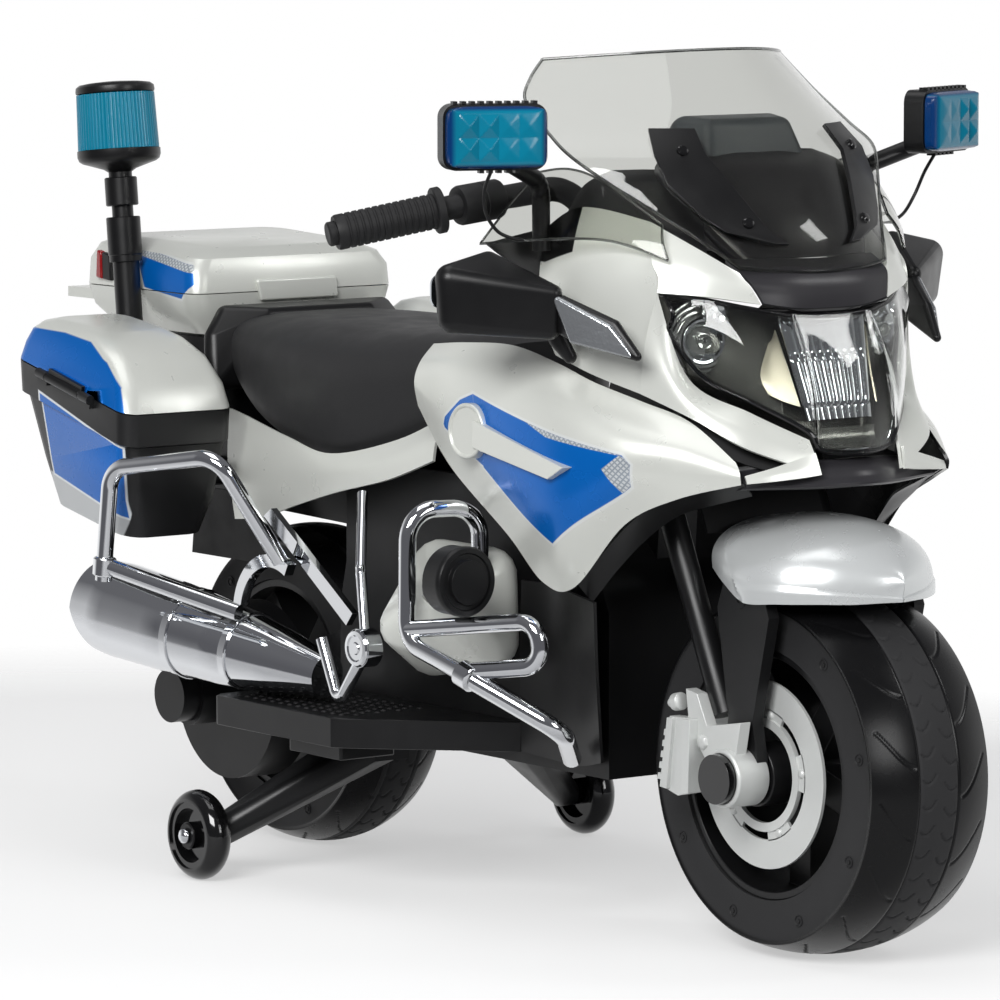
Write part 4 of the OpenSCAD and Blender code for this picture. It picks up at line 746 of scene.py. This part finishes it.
nose_satin = finish("nose_satin", (40, 39, 42), 0.34, Specular_IOR_Level=0.45)
piece("nose_skin", sheet(nose_grid, 3), nose_satin, node="nose_panel")
lip_rows = [[(477, 0, 575), (476, -38, 576), (469, -70, 581)],
            [(472, 0, 565), (470, -38, 567), (459, -72, 573)]]
lip_grid = grid(spread(lip_rows), 3, 6)
piece("nose_lip", sheet(lip_grid, 2), gloss_black)
beak_sections = [(0, [(402, 428), (498, 443), (517, 442), (529, 432), (524, 421), (402, 417)]),
                 (40, [(400, 428), (490, 443), (507, 441), (519, 431), (514, 420), (400, 416)]),
                 (84, [(396, 428), (472, 438), (488, 436), (499, 429), (494, 420), (396, 416)]),
                 (110, [(394, 428), (458, 434), (474, 431), (486, 427), (482, 420), (394, 416)])]


def ring(points, n):
    """A smooth closed curve."""
    p = np.asarray(points, float)
    return row(np.vstack([p[-1:], p, p[:2]]), n)[n:-n - 1]


beak_rings = [ring([(x, -y, z) for x, z in q], 6) for y, q in beak_sections[::-1]]
beak_rings += [r * (1, -1, 1) for r in beak_rings[-2::-1]]
piece("beak_skin", loft(list(smooth(beak_rings, 6))), nose_satin, node="beak")

# Headlight: a clear moulded lens in a black seam over a smoky plated bowl. Each side has a bulb in
# stepped rings, a small round reflector and a bright blade; a fluted block with rows of beads stands
# in the middle.


def border(g):
    """The closed outline of a grid."""
    return np.vstack([g[0], g[1:, -1], g[-1, -2::-1], g[-2::-1, 0]])


smoke_chrome = finish("smoke_chrome", (96, 96, 92), 0.22, metal=0.75, vary=0.1)
ring_chrome = finish("ring_chrome", (176, 177, 174), 0.14, metal=0.95, vary=0.05)


def clear_finish(name, tint, rough, ior):
    """Clear plastic that casts only a faint shadow."""
    mat = finish(name, tint, rough, vary=0.0, IOR=ior, Transmission_Weight=1.0)
    sock = Sock(mat.node_tree)
    body = Sock(sock.tree, mat.node_tree.nodes["Principled BSDF"].outputs[0])
    through = sock.make("BsdfTransparent", {"Color": tuple(c * 0.96 for c in lin(*tint)[:3]) + (1.0,)})
    shade = sock.make("MixShader", {0: sock.make("LightPath", pick=1), 1: body, 2: through})
    shade.feed("Material Output", "Surface")
    return mat


clear = clear_finish("clear", (240, 242, 240), 0.03, 1.4)
smoky = clear_finish("smoky_clear", (202, 203, 199), 0.03, 1.35)
edge_clear = clear_finish("edge_clear", (150, 152, 150), 0.15, 1.45)
lens_stations = [(133, 411, 586, 415, 558), (112, 432, 584, 436, 518), (84, 457, 577, 474, 495),
                 (50, 474, 570, 508, 470), (38, 476, 569, 511, 454), (0, 478, 567, 519, 450)]
down = np.linspace(0, 1, 25)
lens_columns = [np.stack([x0 + (x1 - x0) * down + 9 * np.sin(np.pi * down), -y + 0 * down,
                          z0 + (z1 - z0) * down], -1) for y, x0, z0, x1, z1 in lens_stations]
lens_columns += [c * (1, -1, 1) for c in lens_columns[-2::-1]]
lens_grid = smooth(lens_columns, 8)
piece("lens_skin", sheet(lens_grid, -2.5), clear, node="headlight_lens")
piece("bowl_skin", slab(lens_grid - (42, 0, 0), lens_grid - (45, 0, 0)), smoke_chrome,
      node="headlight_housing")
rim = border(lens_grid)[:-1]
middle = np.array((462, 0, 525.0))
piece("lens_walls", loft([rim - (4, 0, 0), rim - (43, 0, 0)], caps=False), smoke_chrome)
piece("lens_seam", tube(border(lens_grid) - (1, 0, 0), 2.6, 10), gloss_black)
inset = rim + 3.2 * (middle - rim) / np.linalg.norm(middle - rim, axis=1)[:, None] - (4, 0, 0)
lamp_at, lamp_dir = np.array((427, -102, 546.5)), unit((0.9, -0.28, 0))
cup = [(0, -13), (9, -12), (11, -9), (16, -3), (17.5, -1), (19.5, -0.6), (20, -2), (20, -20), (0, -20)]
steps = [(20.5, -8)]
for k in range(4):
    steps += [(21 + 4 * k, -2 - 3 * k), (23.6 + 4 * k, -2 - 3 * k), (24.4 + 4 * k, -4.6 - 3 * k)]
steps += [(37, -16), (37, -22), (20.5, -22)]
bulb = [(0, 6), (3.4, 5), (6.4, 2), (7, -2), (5, -8), (3, -12)]
small = [(0, -3), (5, -2.4), (8, 0), (9, 0.6), (9.6, -1), (9.6, -8), (0, -8)]
blade = grid([[(461, -50, 556), (474, -45, 522), (487, -42, 490)],
              [(459, -51, 548), (463, -54, 520), (476, -51, 494)],
              [(456, -53, 544), (454, -60, 517), (464, -60, 500)]], 6, 6)
flat = np.linspace(0, 1, 46)[:, None]
u = np.linspace(-1, 1, 109)[None, :]
depth = 3.4 * ((flat - 0.34) / 0.08).clip(0.12, 1) * (1 - ((flat - 0.84) / 0.04).clip(0, 0.8))
swell = depth * abs(np.sin(u * 4.5 * np.pi + np.pi / 2))
fluted = np.stack([460 + 27 * flat + swell * 0.95, (46 - 12 * flat) * u,
                   565 - 88 * flat + swell * 0.3], -1)
bead = [(0, 3.2), (1.8, 2.7), (2.9, 1.0), (3.1, -1.5)]
bead_dir = (0.95, 0, 0.3)
beads = [lathe(bead, (486, -28 + 7 * k, 481), bead_dir, 12) for k in range(9)]
beads += [lathe(bead, (462 + 1.5 * j, -42 + 6.4 * k, 562 - 7 * j), bead_dir, 12)
          for k in range(5) for j in range(2)]
edges = [tube([(462, s * 46.5, 565), (475, s * 40.5, 521), (489, s * 34.5, 477)], 1.3, 10)
         for s in (-1, 1)]
trough = grid([[(x, y, z) for y in (-half, -12, 12, half)]
               for half, x, z in ((36, 490, 470), (34, 496, 458), (32, 512, 453))], 3, 4)
lamps = [lathe(cup, lamp_at, lamp_dir), lathe(small, (439, -99, 571), lamp_dir, 32)]
lamps = joined(both(*lamps), sheet(fluted, 3), tube(inset, 0.8, 8), *beads, *edges)
piece("lamp_detail", lamps, chrome, node="headlight_lamps")
blade_silver = finish("blade_silver", (126, 121, 108), 0.34, metal=0.85)
piece("lamp_blades", both(sheet(blade, 1.5)), blade_silver)
piece("lamp_steps", both(lathe(steps, lamp_at, lamp_dir, 64)), ring_chrome)
piece("lamp_trough", sheet(trough, 2), smoke_chrome)
piece("lamp_bulbs", both(lathe(bulb, lamp_at, lamp_dir, 32)), clear)

# Screen: a clear bent sheet with two black straps screwed on, and clear vanes at its sides. A black
# moulded cowl with a grey hood follows it from behind.


def hull(balls, n):
    """Points on a set of balls, for piece() to stretch a skin over."""
    t, s = np.meshgrid(np.linspace(0, 2 * np.pi, n, endpoint=False), np.linspace(-1, 1, n // 2 + 1))
    s = s * np.pi / 2
    ball = np.stack([np.cos(s) * np.cos(t), np.cos(s) * np.sin(t), np.sin(s)], -1).reshape(-1, 3)
    return np.vstack([np.array(b[:3]) + b[3] * ball for b in balls])


def mirror_hull(balls, n):
    """The same with balls on both sides of the middle plane."""
    return hull(balls + [(x, -y, z, r) for x, y, z, r in balls], n)


screen_rows = np.array([(788, 136, 328, 236, 9), (771, 153, 346, 240, 6), (752, 167, 366, 252, 3),
                        (726, 172, 390, 292, 0), (707, 173, 408, 325, 0), (685, 155, 425, 354, 0),
                        (660, 129, 443, 388, 0), (635, 104, 458, 422, 0), (612, 82, 467, 452, -6.0)])
wide = np.linspace(-1, 1, 49)
hump = 1 - wide ** 2
screen = smooth([np.stack([e + (m - e) * hump, w * wide, z + rise * hump], -1)
                 for z, w, m, e, rise in screen_rows], 6)
piece("screen_skin", sheet(screen, -3), smoky, node="windscreen")
paint(satin_black, "screen_brackets", bevel=0.8)


def on_screen(y, z):
    """The place on the front of the screen."""
    r = screen_rows[::-1]
    w, m, e = (np.interp(z, r[:, 0], r[:, k]) for k in (1, 2, 3))
    return np.array((e + (m - e) * (1 - (y / w) ** 2), y, z))


cowl_rows = [(704, 74, 30), (690, 98, 14), (660, 90, 10), (636, 78, 8), (617, 66, 8)]
cowl = []
for z, half, gap in cowl_rows:
    mid = [on_screen(half * k / 3, z) - (gap + 7.8, 0, 0) for k in range(-3, 4)]
    cowl.append([mid[0] - (22, -4, 0)] + mid + [mid[-1] - (22, 4, 0)])
piece("cowl_skin", sheet(grid(cowl, 6, 6), 3), nose_satin, node="instrument_cowl")
hood_balls = [(330, 46, 722, 16), (352, 40, 724, 12), (335, 50, 698, 18), (362, 46, 700, 12)]
piece("cowl_hood", mirror_hull(hood_balls, 32), finish("cowl_grey", (70, 74, 79), 0.4, grain=0.03))
stud = [(0, 3.2), (3.4, 3.0), (5, 1.6), (5.4, -1)]
studs = [lathe(stud, on_screen(y, z) + (5.4, -2.2, 3.4), (0.75, -0.3, 0.55), 20)
         for y, z in ((-94, 708), (-64, 646))]
piece("bracket_screws", both(*studs), gloss_black)
deflector_rows = [[(278, -172, 690), (270, -199, 660), (262, -224, 628)],
                  [(310, -162, 694), (318, -182, 664), (322, -196, 634)],
                  [(346, -152, 684), (364, -160, 656), (374, -165, 634)],
                  [(400, -128, 648), (408, -134, 634), (416, -134, 618)]]
deflector = grid(deflector_rows, 8, 8)
piece("screen_edges", joined(tube(border(screen), 1.5, 8), both(tube(border(deflector), 1.2, 8))),
      edge_clear)
piece("deflector_skin", both(sheet(deflector, -2)), smoky, node="wing_deflectors")

# Mirrors: black moulded housings with a mirror film behind, a wedge that carries a clear textured
# signal lens in front, and a stay to the fairing.
mirror_film = finish("mirror_film", (208, 214, 220), 0.04, metal=1.0, vary=0.01)
mirror_balls = [(286, -274, 600, 14), (284, -270, 566, 14), (284, -232, 612, 11), (345, -206, 588, 8),
                (338, -204, 556, 9), (290, -240, 562, 12)]
wedge_balls = [(352, -201, 582, 5), (368, -196, 550, 5), (420, -171, 536, 4), (398, -178, 562, 5),
               (335, -196, 560, 6)]
stay_balls = [(318, -200, 585, 6), (322, -185, 545, 7), (330, -176, 530, 6)]
signal_balls = [(351, -206, 583, 3.5), (367, -201, 549, 3.5), (416, -175, 537, 2.5),
                (398, -184, 560, 3.5)]
shell = hull(mirror_balls, 40)
glass_plane = 274.2
shell[:, 0] = np.maximum(shell[:, 0], glass_plane)
cut_glass = finish("cut_glass", (150, 153, 156), 0.2, metal=0.7, coat=0.3, grain=0.8, grain_size=4.0,
                   vary=0.08)
for side, name in ((-1, "right"), (1, "left")):
    piece("mirror_shell_" + name, shell * (1, -side, 1), satin_black,
          node="mirror_housings" if side < 0 else None)
    for part, balls in (("wedge_", wedge_balls), ("stay_", stay_balls)):
        piece("mirror_" + part + name, hull(balls, 24) * (1, -side, 1), satin_black)
    piece("signal_lens_" + name, hull(signal_balls, 32) * (1, -side, 1), cut_glass,
          node="signal_lenses" if side < 0 else None)
paint(mirror_film, "mirror_glasses")

# Flasher pods: toothed black housings on bent stalks, each with a moulded blue-green lens of small
# pyramids and a thin black lead down to the dash.
splay = math.radians(-22)
pod_x = np.array((math.cos(splay), math.sin(splay), 0))
pod_y = np.array((-math.sin(splay), math.cos(splay), 0))
pod_at = np.array((330, -258, 726), float)
pod_hw, pod_hh = 45, 27


def with_margins(field, n):
    """Places from -1 to 1: n over the field and six in each margin."""
    margin = np.linspace(field, 1, 7)[1:]
    return np.hstack([-margin[::-1], np.linspace(-field, field, n), margin])


def pod_mark(p, tint, gloss):
    """A darker rim around the lens."""
    x, y, z = p.parts()
    along = (x - pod_at[0]) * pod_y[0] + (-pod_at[1] - abs(y)) * pod_y[1]
    deep = ((abs(along) / pod_hw).most(abs(z - pod_at[2]) / pod_hh) - 0.84) / 0.1
    return deep.clip().blend(tint, lin(0, 52, 108)), gloss


teal = dict(colour=(0, 124, 154), rough=0.2, coat=0.15, vary=0.12, Transmission_Weight=0.2,
            Specular_IOR_Level=0.3)
paint(satin_black, "pod_housings", bevel=1.5)
field_u, field_v = 0.8, 0.76
u, v = np.meshgrid(with_margins(field_u, 49), with_margins(field_v, 25))
cell = np.maximum(abs((u + field_u) / 0.4 % 1 - 0.5), abs((v + field_v) / field_v % 1 - 0.5)) * 2
facet = np.where(u < 0, 4.0, 1.2) * (1 - cell) * ((abs(u) <= field_u) & (abs(v) <= field_v))
edge = np.maximum(abs(u) ** 6, abs(v) ** 6)
squeeze = 1 / np.maximum(1, (abs(u) ** 7 + abs(v) ** 7) ** (1 / 7))


def pod_point(x, y, z):
    """From the frame of the right-hand pod to that of the whole."""
    return pod_at + x[..., None] * pod_x + y[..., None] * pod_y + z[..., None] * np.array((0, 0, 1))


pod_u, pod_v = u * pod_hw * squeeze, v * pod_hh * squeeze
pod_front = pod_point(14 + facet - 7 * edge ** 2, pod_u, pod_v)
pod_rear = pod_point(0 * u + 0.6, pod_u, pod_v)
piece("pod_lens_skin", both(slab(pod_front, pod_rear)), finish("pod_teal", decal=pod_mark, **teal),
      node="pod_lenses", sharp=12)
tooth_h = 3.4
tooth = np.array([(x, y, z) for z in (0, tooth_h) for x, y in ((-9, -2), (0, -2), (0, 2), (-9, 2))])
teeth = []
for k in range(10):
    for side in (1, -1) if 2 < k < 8 else (1,):
        t = tooth + (0, -36 + 8 * k, 28)
        teeth.append(loft(list(pod_point(t[:, 0], t[:, 1], t[:, 2] * side).reshape(2, 4, 3))))
piece("pod_teeth", both(*teeth), satin_black)
wire_path = [(318, -254, 695), (306, -252, 678), (300, -246, 658), (300, -234, 642), (303, -220, 635),
             (305, -209, 633)]
piece("pod_leads", both(tube(row(wire_path, 10), 1.6, 12)), satin_black, node="pod_wires")

# Saddle: one moulded matte black shell with a fine grain, set on the tub, and a backrest behind it.
# Below are the tail shell, inner flaps by the rear wheel and silver side panels.
seat_stations = [(-333, 76, 514, 478), (-318, 98, 523, 456), (-250, 120, 526, 414),
                 (-170, 131, 526, 392), (-94, 132, 524, 384), (-20, 117, 526, 406), (36, 94, 526, 438),
                 (66, 62, 518, 474)]
turn = np.linspace(0, 2 * np.pi, 112, endpoint=False)
cu, cv = np.cos(turn), np.sin(turn)
seat_rings = [np.stack([x + 0 * cu, w * np.sign(cu) * abs(cu) ** 0.55,
                        (z1 + z0) / 2 + (z1 - z0) / 2 * np.sign(cv) * abs(cv) ** 0.6], -1)
              for x, w, z1, z0 in seat_stations]
saddle = finish("saddle", (38, 38, 39), 0.55, grain=0.16, grain_size=1.4, Specular_IOR_Level=0.4)
piece("saddle_skin", loft(list(smooth(seat_rings, 10))), saddle, node="seat",
      sharp=60)
back_balls = [(-334, 92, 520, 11), (-330, 108, 500, 11), (-322, 112, 462, 12), (-312, 60, 520, 9)]
piece("backrest", mirror_hull(back_balls, 32), satin_black)
paint(satin_black, "tail_shell", bevel=1.5)
flap = prism([(-392, 284), (-384, 350), (-262, 352), (-238, 318), (-262, 284)], -92, -95)
piece("rear_flaps", both(flap), matte_black)
side_panel_rows = [[(-300, -112, 434), (-286, -124, 385), (-268, -128, 330)],
                   [(-250, -124, 430), (-226, -136, 388), (-206, -138, 338)],
                   [(-170, -134, 418), (-152, -142, 388), (-140, -143, 356)],
                   [(-94, -136, 408), (-80, -143, 390), (-72, -144, 374)],
                   [(0, -126, 428), (4, -138, 410), (6, -142, 392)],
                   [(62, -112, 456), (66, -130, 434), (68, -136, 414)]]
piece("side_panel_skin", both(sheet(grid(side_panel_rows, 8, 8), 3)), silver, node="side_panels")

# Guards: bright plated tubes, bent into hoops ahead of the footboards and of the panniers, with a
# sleeve over each joint.
hoop_path = [(183, -166, 316), (184, -168, 384), (168, -236, 384), (166, -236, 264), (256, -236, 244)]
loop_path = [(250, -236, 246), (322, -200, 256), (318, -204, 296), (168, -236, 276)]
crash_low_path = [(262, -233, 240), (332, -184, 196), (262, -122, 160)]
sleeve = [(8, 0), (11, 1), (12, 2), (12, 17), (11, 18), (8, 19)]
piece("crash_bars", both(tube(bent(hoop_path, 27), 8), tube(bent(loop_path, 18), 8),
                         tube(bent(crash_low_path, 22), 9),
                         lathe(sleeve, (248, -236, 246), (18, 2, -6))),
      chrome, node="front_crash_bars")
guard_path = [(-250, -291, 284), (-236, -291, 392), (-100, -262, 412), (-80, -204, 312)]
guard_low_path = [(-249, -291, 299), (-170, -258, 278), (-112, -230, 262)]
sleeve = [(8, 0), (10, 1), (11, 2), (11, 17), (10, 18), (8, 19)]
piece("guard_bars", both(tube(bent(guard_path, 26), 8), tube(bent(guard_low_path, 26), 8),
                         lathe(sleeve, (-249, -291, 288), (2, 0, 18))),
      chrome, node="rear_guard_bars")

# Silencer: a plated tapered drum with two raised bands, hung below the right-hand pannier. Bright
# plated links and bosses hold the footrest ahead of it.
paint(chrome, "silencer")
paint(chrome, "footrest_trim", bevel=0.8)
silencer_rear, silencer_front = np.array((-356, -222, 246.0)), np.array((-42, -178, 206.0))
bands = []
for t, r in ((0.42, 42.7), (0.66, 36.6)):
    profile = [(r - 2, -5), (r + 0.6, -5), (r + 1.4, -4), (r + 1.4, 4), (r + 0.6, 5), (r - 2, 5)]
    bands.append(lathe(profile, silencer_rear + t * (silencer_front - silencer_rear),
                       silencer_front - silencer_rear, 96))
piece("silencer_bands", joined(*bands), chrome)
boss = [(0, 3.4), (5, 3.4), (6, 2.2), (11, 2.2), (12.5, 3.4), (16, 3.0), (17.6, 1.2), (17.6, -2)]
piece("trim_bosses", both(lathe(boss, (44, -204, 243), (0, -1, 0), 48)), chrome)

# Engine covers and footboards: silver plastic covers, black siren drums with a stepped face ahead of
# them, and black footboards with rows of moulded dots on the tread.
paint(silver, "cylinder_covers", bevel=1.0)
paint(satin_black, "siren_drums", bevel=2.0)
drum_ring = [(29, -3), (31.8, -2), (31.8, 2), (30.4, 4), (26, 4), (25, 2.4), (22, 2.4), (21.4, 0)]
piece("drum_rings", both(lathe(drum_ring, (245, -229, 326), (1, 0, 0), 64)), satin_black)
paint(satin_black, "footboards", bevel=2.0)
dot = [(0, 1.5), (1.6, 1.3), (2.8, 0.4), (3.0, -0.6)]
dots = [lathe(dot, (-150 + 14 * i + 7 * (j % 2), -204 + 12 * j, 178), (0, 0, 1), 10)
        for i in range(13) for j in range(8)]
piece("tread_dots", both(*dots), matte_black)

# Panniers: black moulded boxes on pegs of the tub, with a bare blue field and a silver foot. Their
# silver lids open outwards on hinges and carry a blue band.


def box_mark(p, tint, gloss):
    """A framed blue field and a silver foot on the outer face."""
    x, y, z = p.parts()
    outer = (abs(y) - 255).inside(0.5)
    depth = polygon(x, z, [(-382, 452), (-246, 408), (-258, 340), (-377, 374)])
    frame_on = (depth + 2.2).inside(0.5) * outer
    low = polygon(x, z, [(-384, 376), (-240, 336), (-240, 270), (-420, 270)]).inside(0.6) * outer
    tint = frame_on.blend(low.blend(tint, lin(190, 193, 194)), lin(222, 226, 228))
    return (depth.inside(0.5) * outer).blend(tint, blue), gloss - frame_on * 0.1


def lid_mark(p, tint, gloss):
    """A blue band and black hinge knuckles."""
    x, y, z = p.parts()
    curve = [(-450, 515), (-358, 511), (-313, 505), (-275, 488), (-248, 466), (-236, 440), (-236, 420),
             (-450, 420)]
    outer = (abs(y) - 257).inside(0.8) * (280 - abs(y)).inside(0.5)
    band = polygon(x, z, curve).inside(0.6) * outer
    knuckle = (abs(y) - 279.5).inside(0.5)
    return knuckle.blend(band.blend(tint, blue), lin(22, 22, 23)), gloss - band * 0.04


pannier_black = finish("pannier_box", (25, 25, 26), 0.38, grain=0.03, decal=box_mark)
paint(pannier_black, "pannier_boxes", bevel=0.8)
paint(silvered("pannier_lid", lid_mark), "pannier_lid_right", "pannier_lid_left", bevel=1.5)

# Top case: a silver moulded base and lid with a blue taped field on each side and a latch in front.
# The red light and its framed corner pieces sit on the lid; the base has a plate ledge.
red_lens = finish("red_lens", (168, 18, 22), 0.16, coat=0.6, Transmission_Weight=0.35)


def case_mark(p, tint, gloss):
    """The taped field, on the two flat sides alone."""
    x, _, z = p.parts()
    shapes = [[(-455, 583), (-353, 568), (-349, 556), (-371, 536), (-435, 544)]]
    tape = [[(-456, 584), (-352, 569), (-352, 561), (-455, 575)]]
    blue_tint, _ = taped(x, z, tint, gloss, shapes, tape)
    _, facing, _ = p.make("NewGeometry", pick=1).parts()
    return (abs(facing) - 0.7).inside(0.05).blend(tint, blue_tint), gloss


paint(silvered("case_silver", case_mark), "top_case_lid", "top_case_base", bevel=1.5)
paint(red_lens, "tail_light", bevel=1.0)
latch = hull([(-346.2, y, z, 2.5) for y, z in ((-46, 551), (44, 551), (-42, 535), (46, 535))], 16)
piece("case_latch", latch, silver, "case_lid")
corner_light = prism([(-516, 549), (-505, 548), (-506, 575), (-514, 577)], -119, -126)
corner_frame = prism([(-505, 548), (-490, 547), (-492, 573), (-506, 575)], -119, -125)
piece("corner_frames", both(corner_frame), satin_black, "case_lid", bevel=1.5)
piece("corner_lights", both(corner_light), red_lens, "case_lid", bevel=2.0)

# Beacon: a telescopic black mast with collars, drawn out of a base on the tail. A bowl, a ribbed
# blue-green drum and a rounded cap, all moulded plastic, sit on top.
paint(satin_black, "mast_base", bevel=1.2)
mast_dir = unit((-15, 0, 141))
mast_top = np.array((-430, -136, 430)) + 170 * mast_dir
stem = [(10.5, -86), (10.5, 25), (15, 25), (16, 26), (16, 52), (15, 53), (11.5, 53), (11.5, 58),
        (16, 61), (28, 65), (36, 67.5), (39.5, 70), (41, 74), (41, 80), (36, 80), (36, 76), (6, 76),
        (6, 135.6), (38.6, 136), (39, 138), (38.4, 142), (35, 144.6), (26, 146), (12, 147), (0, 147.2)]
mast_sleeve = [(13.2, -24), (16, -24), (16.8, -23), (16.8, 13), (16, 14), (10.9, 14)]
piece("mast_sleeve", lathe(mast_sleeve, mast_top, mast_dir, 64), satin_black)
piece("mast_stem", lathe(stem, mast_top, mast_dir, 72), satin_black, "beacon", "mast_tube")
_, side_u, side_v = across(mast_dir)
steps_round, rib_depth = 480, 0.7
ribbed = rib_depth * (abs(np.cos(np.arange(steps_round) * np.pi / 8)) - 1)
outline = circle(side_u, side_v, steps_round)
drum = [mast_top + s * mast_dir + (r + ribbed)[:, None] * outline
        for r, s in ((35, 80.4), (40, 80.4), (40, 83), (39.2, 108), (38.4, 135), (34, 135.8))]
piece("beacon_drum", loft(drum), finish("beacon_teal", **teal), "beacon", "beacon_lens")
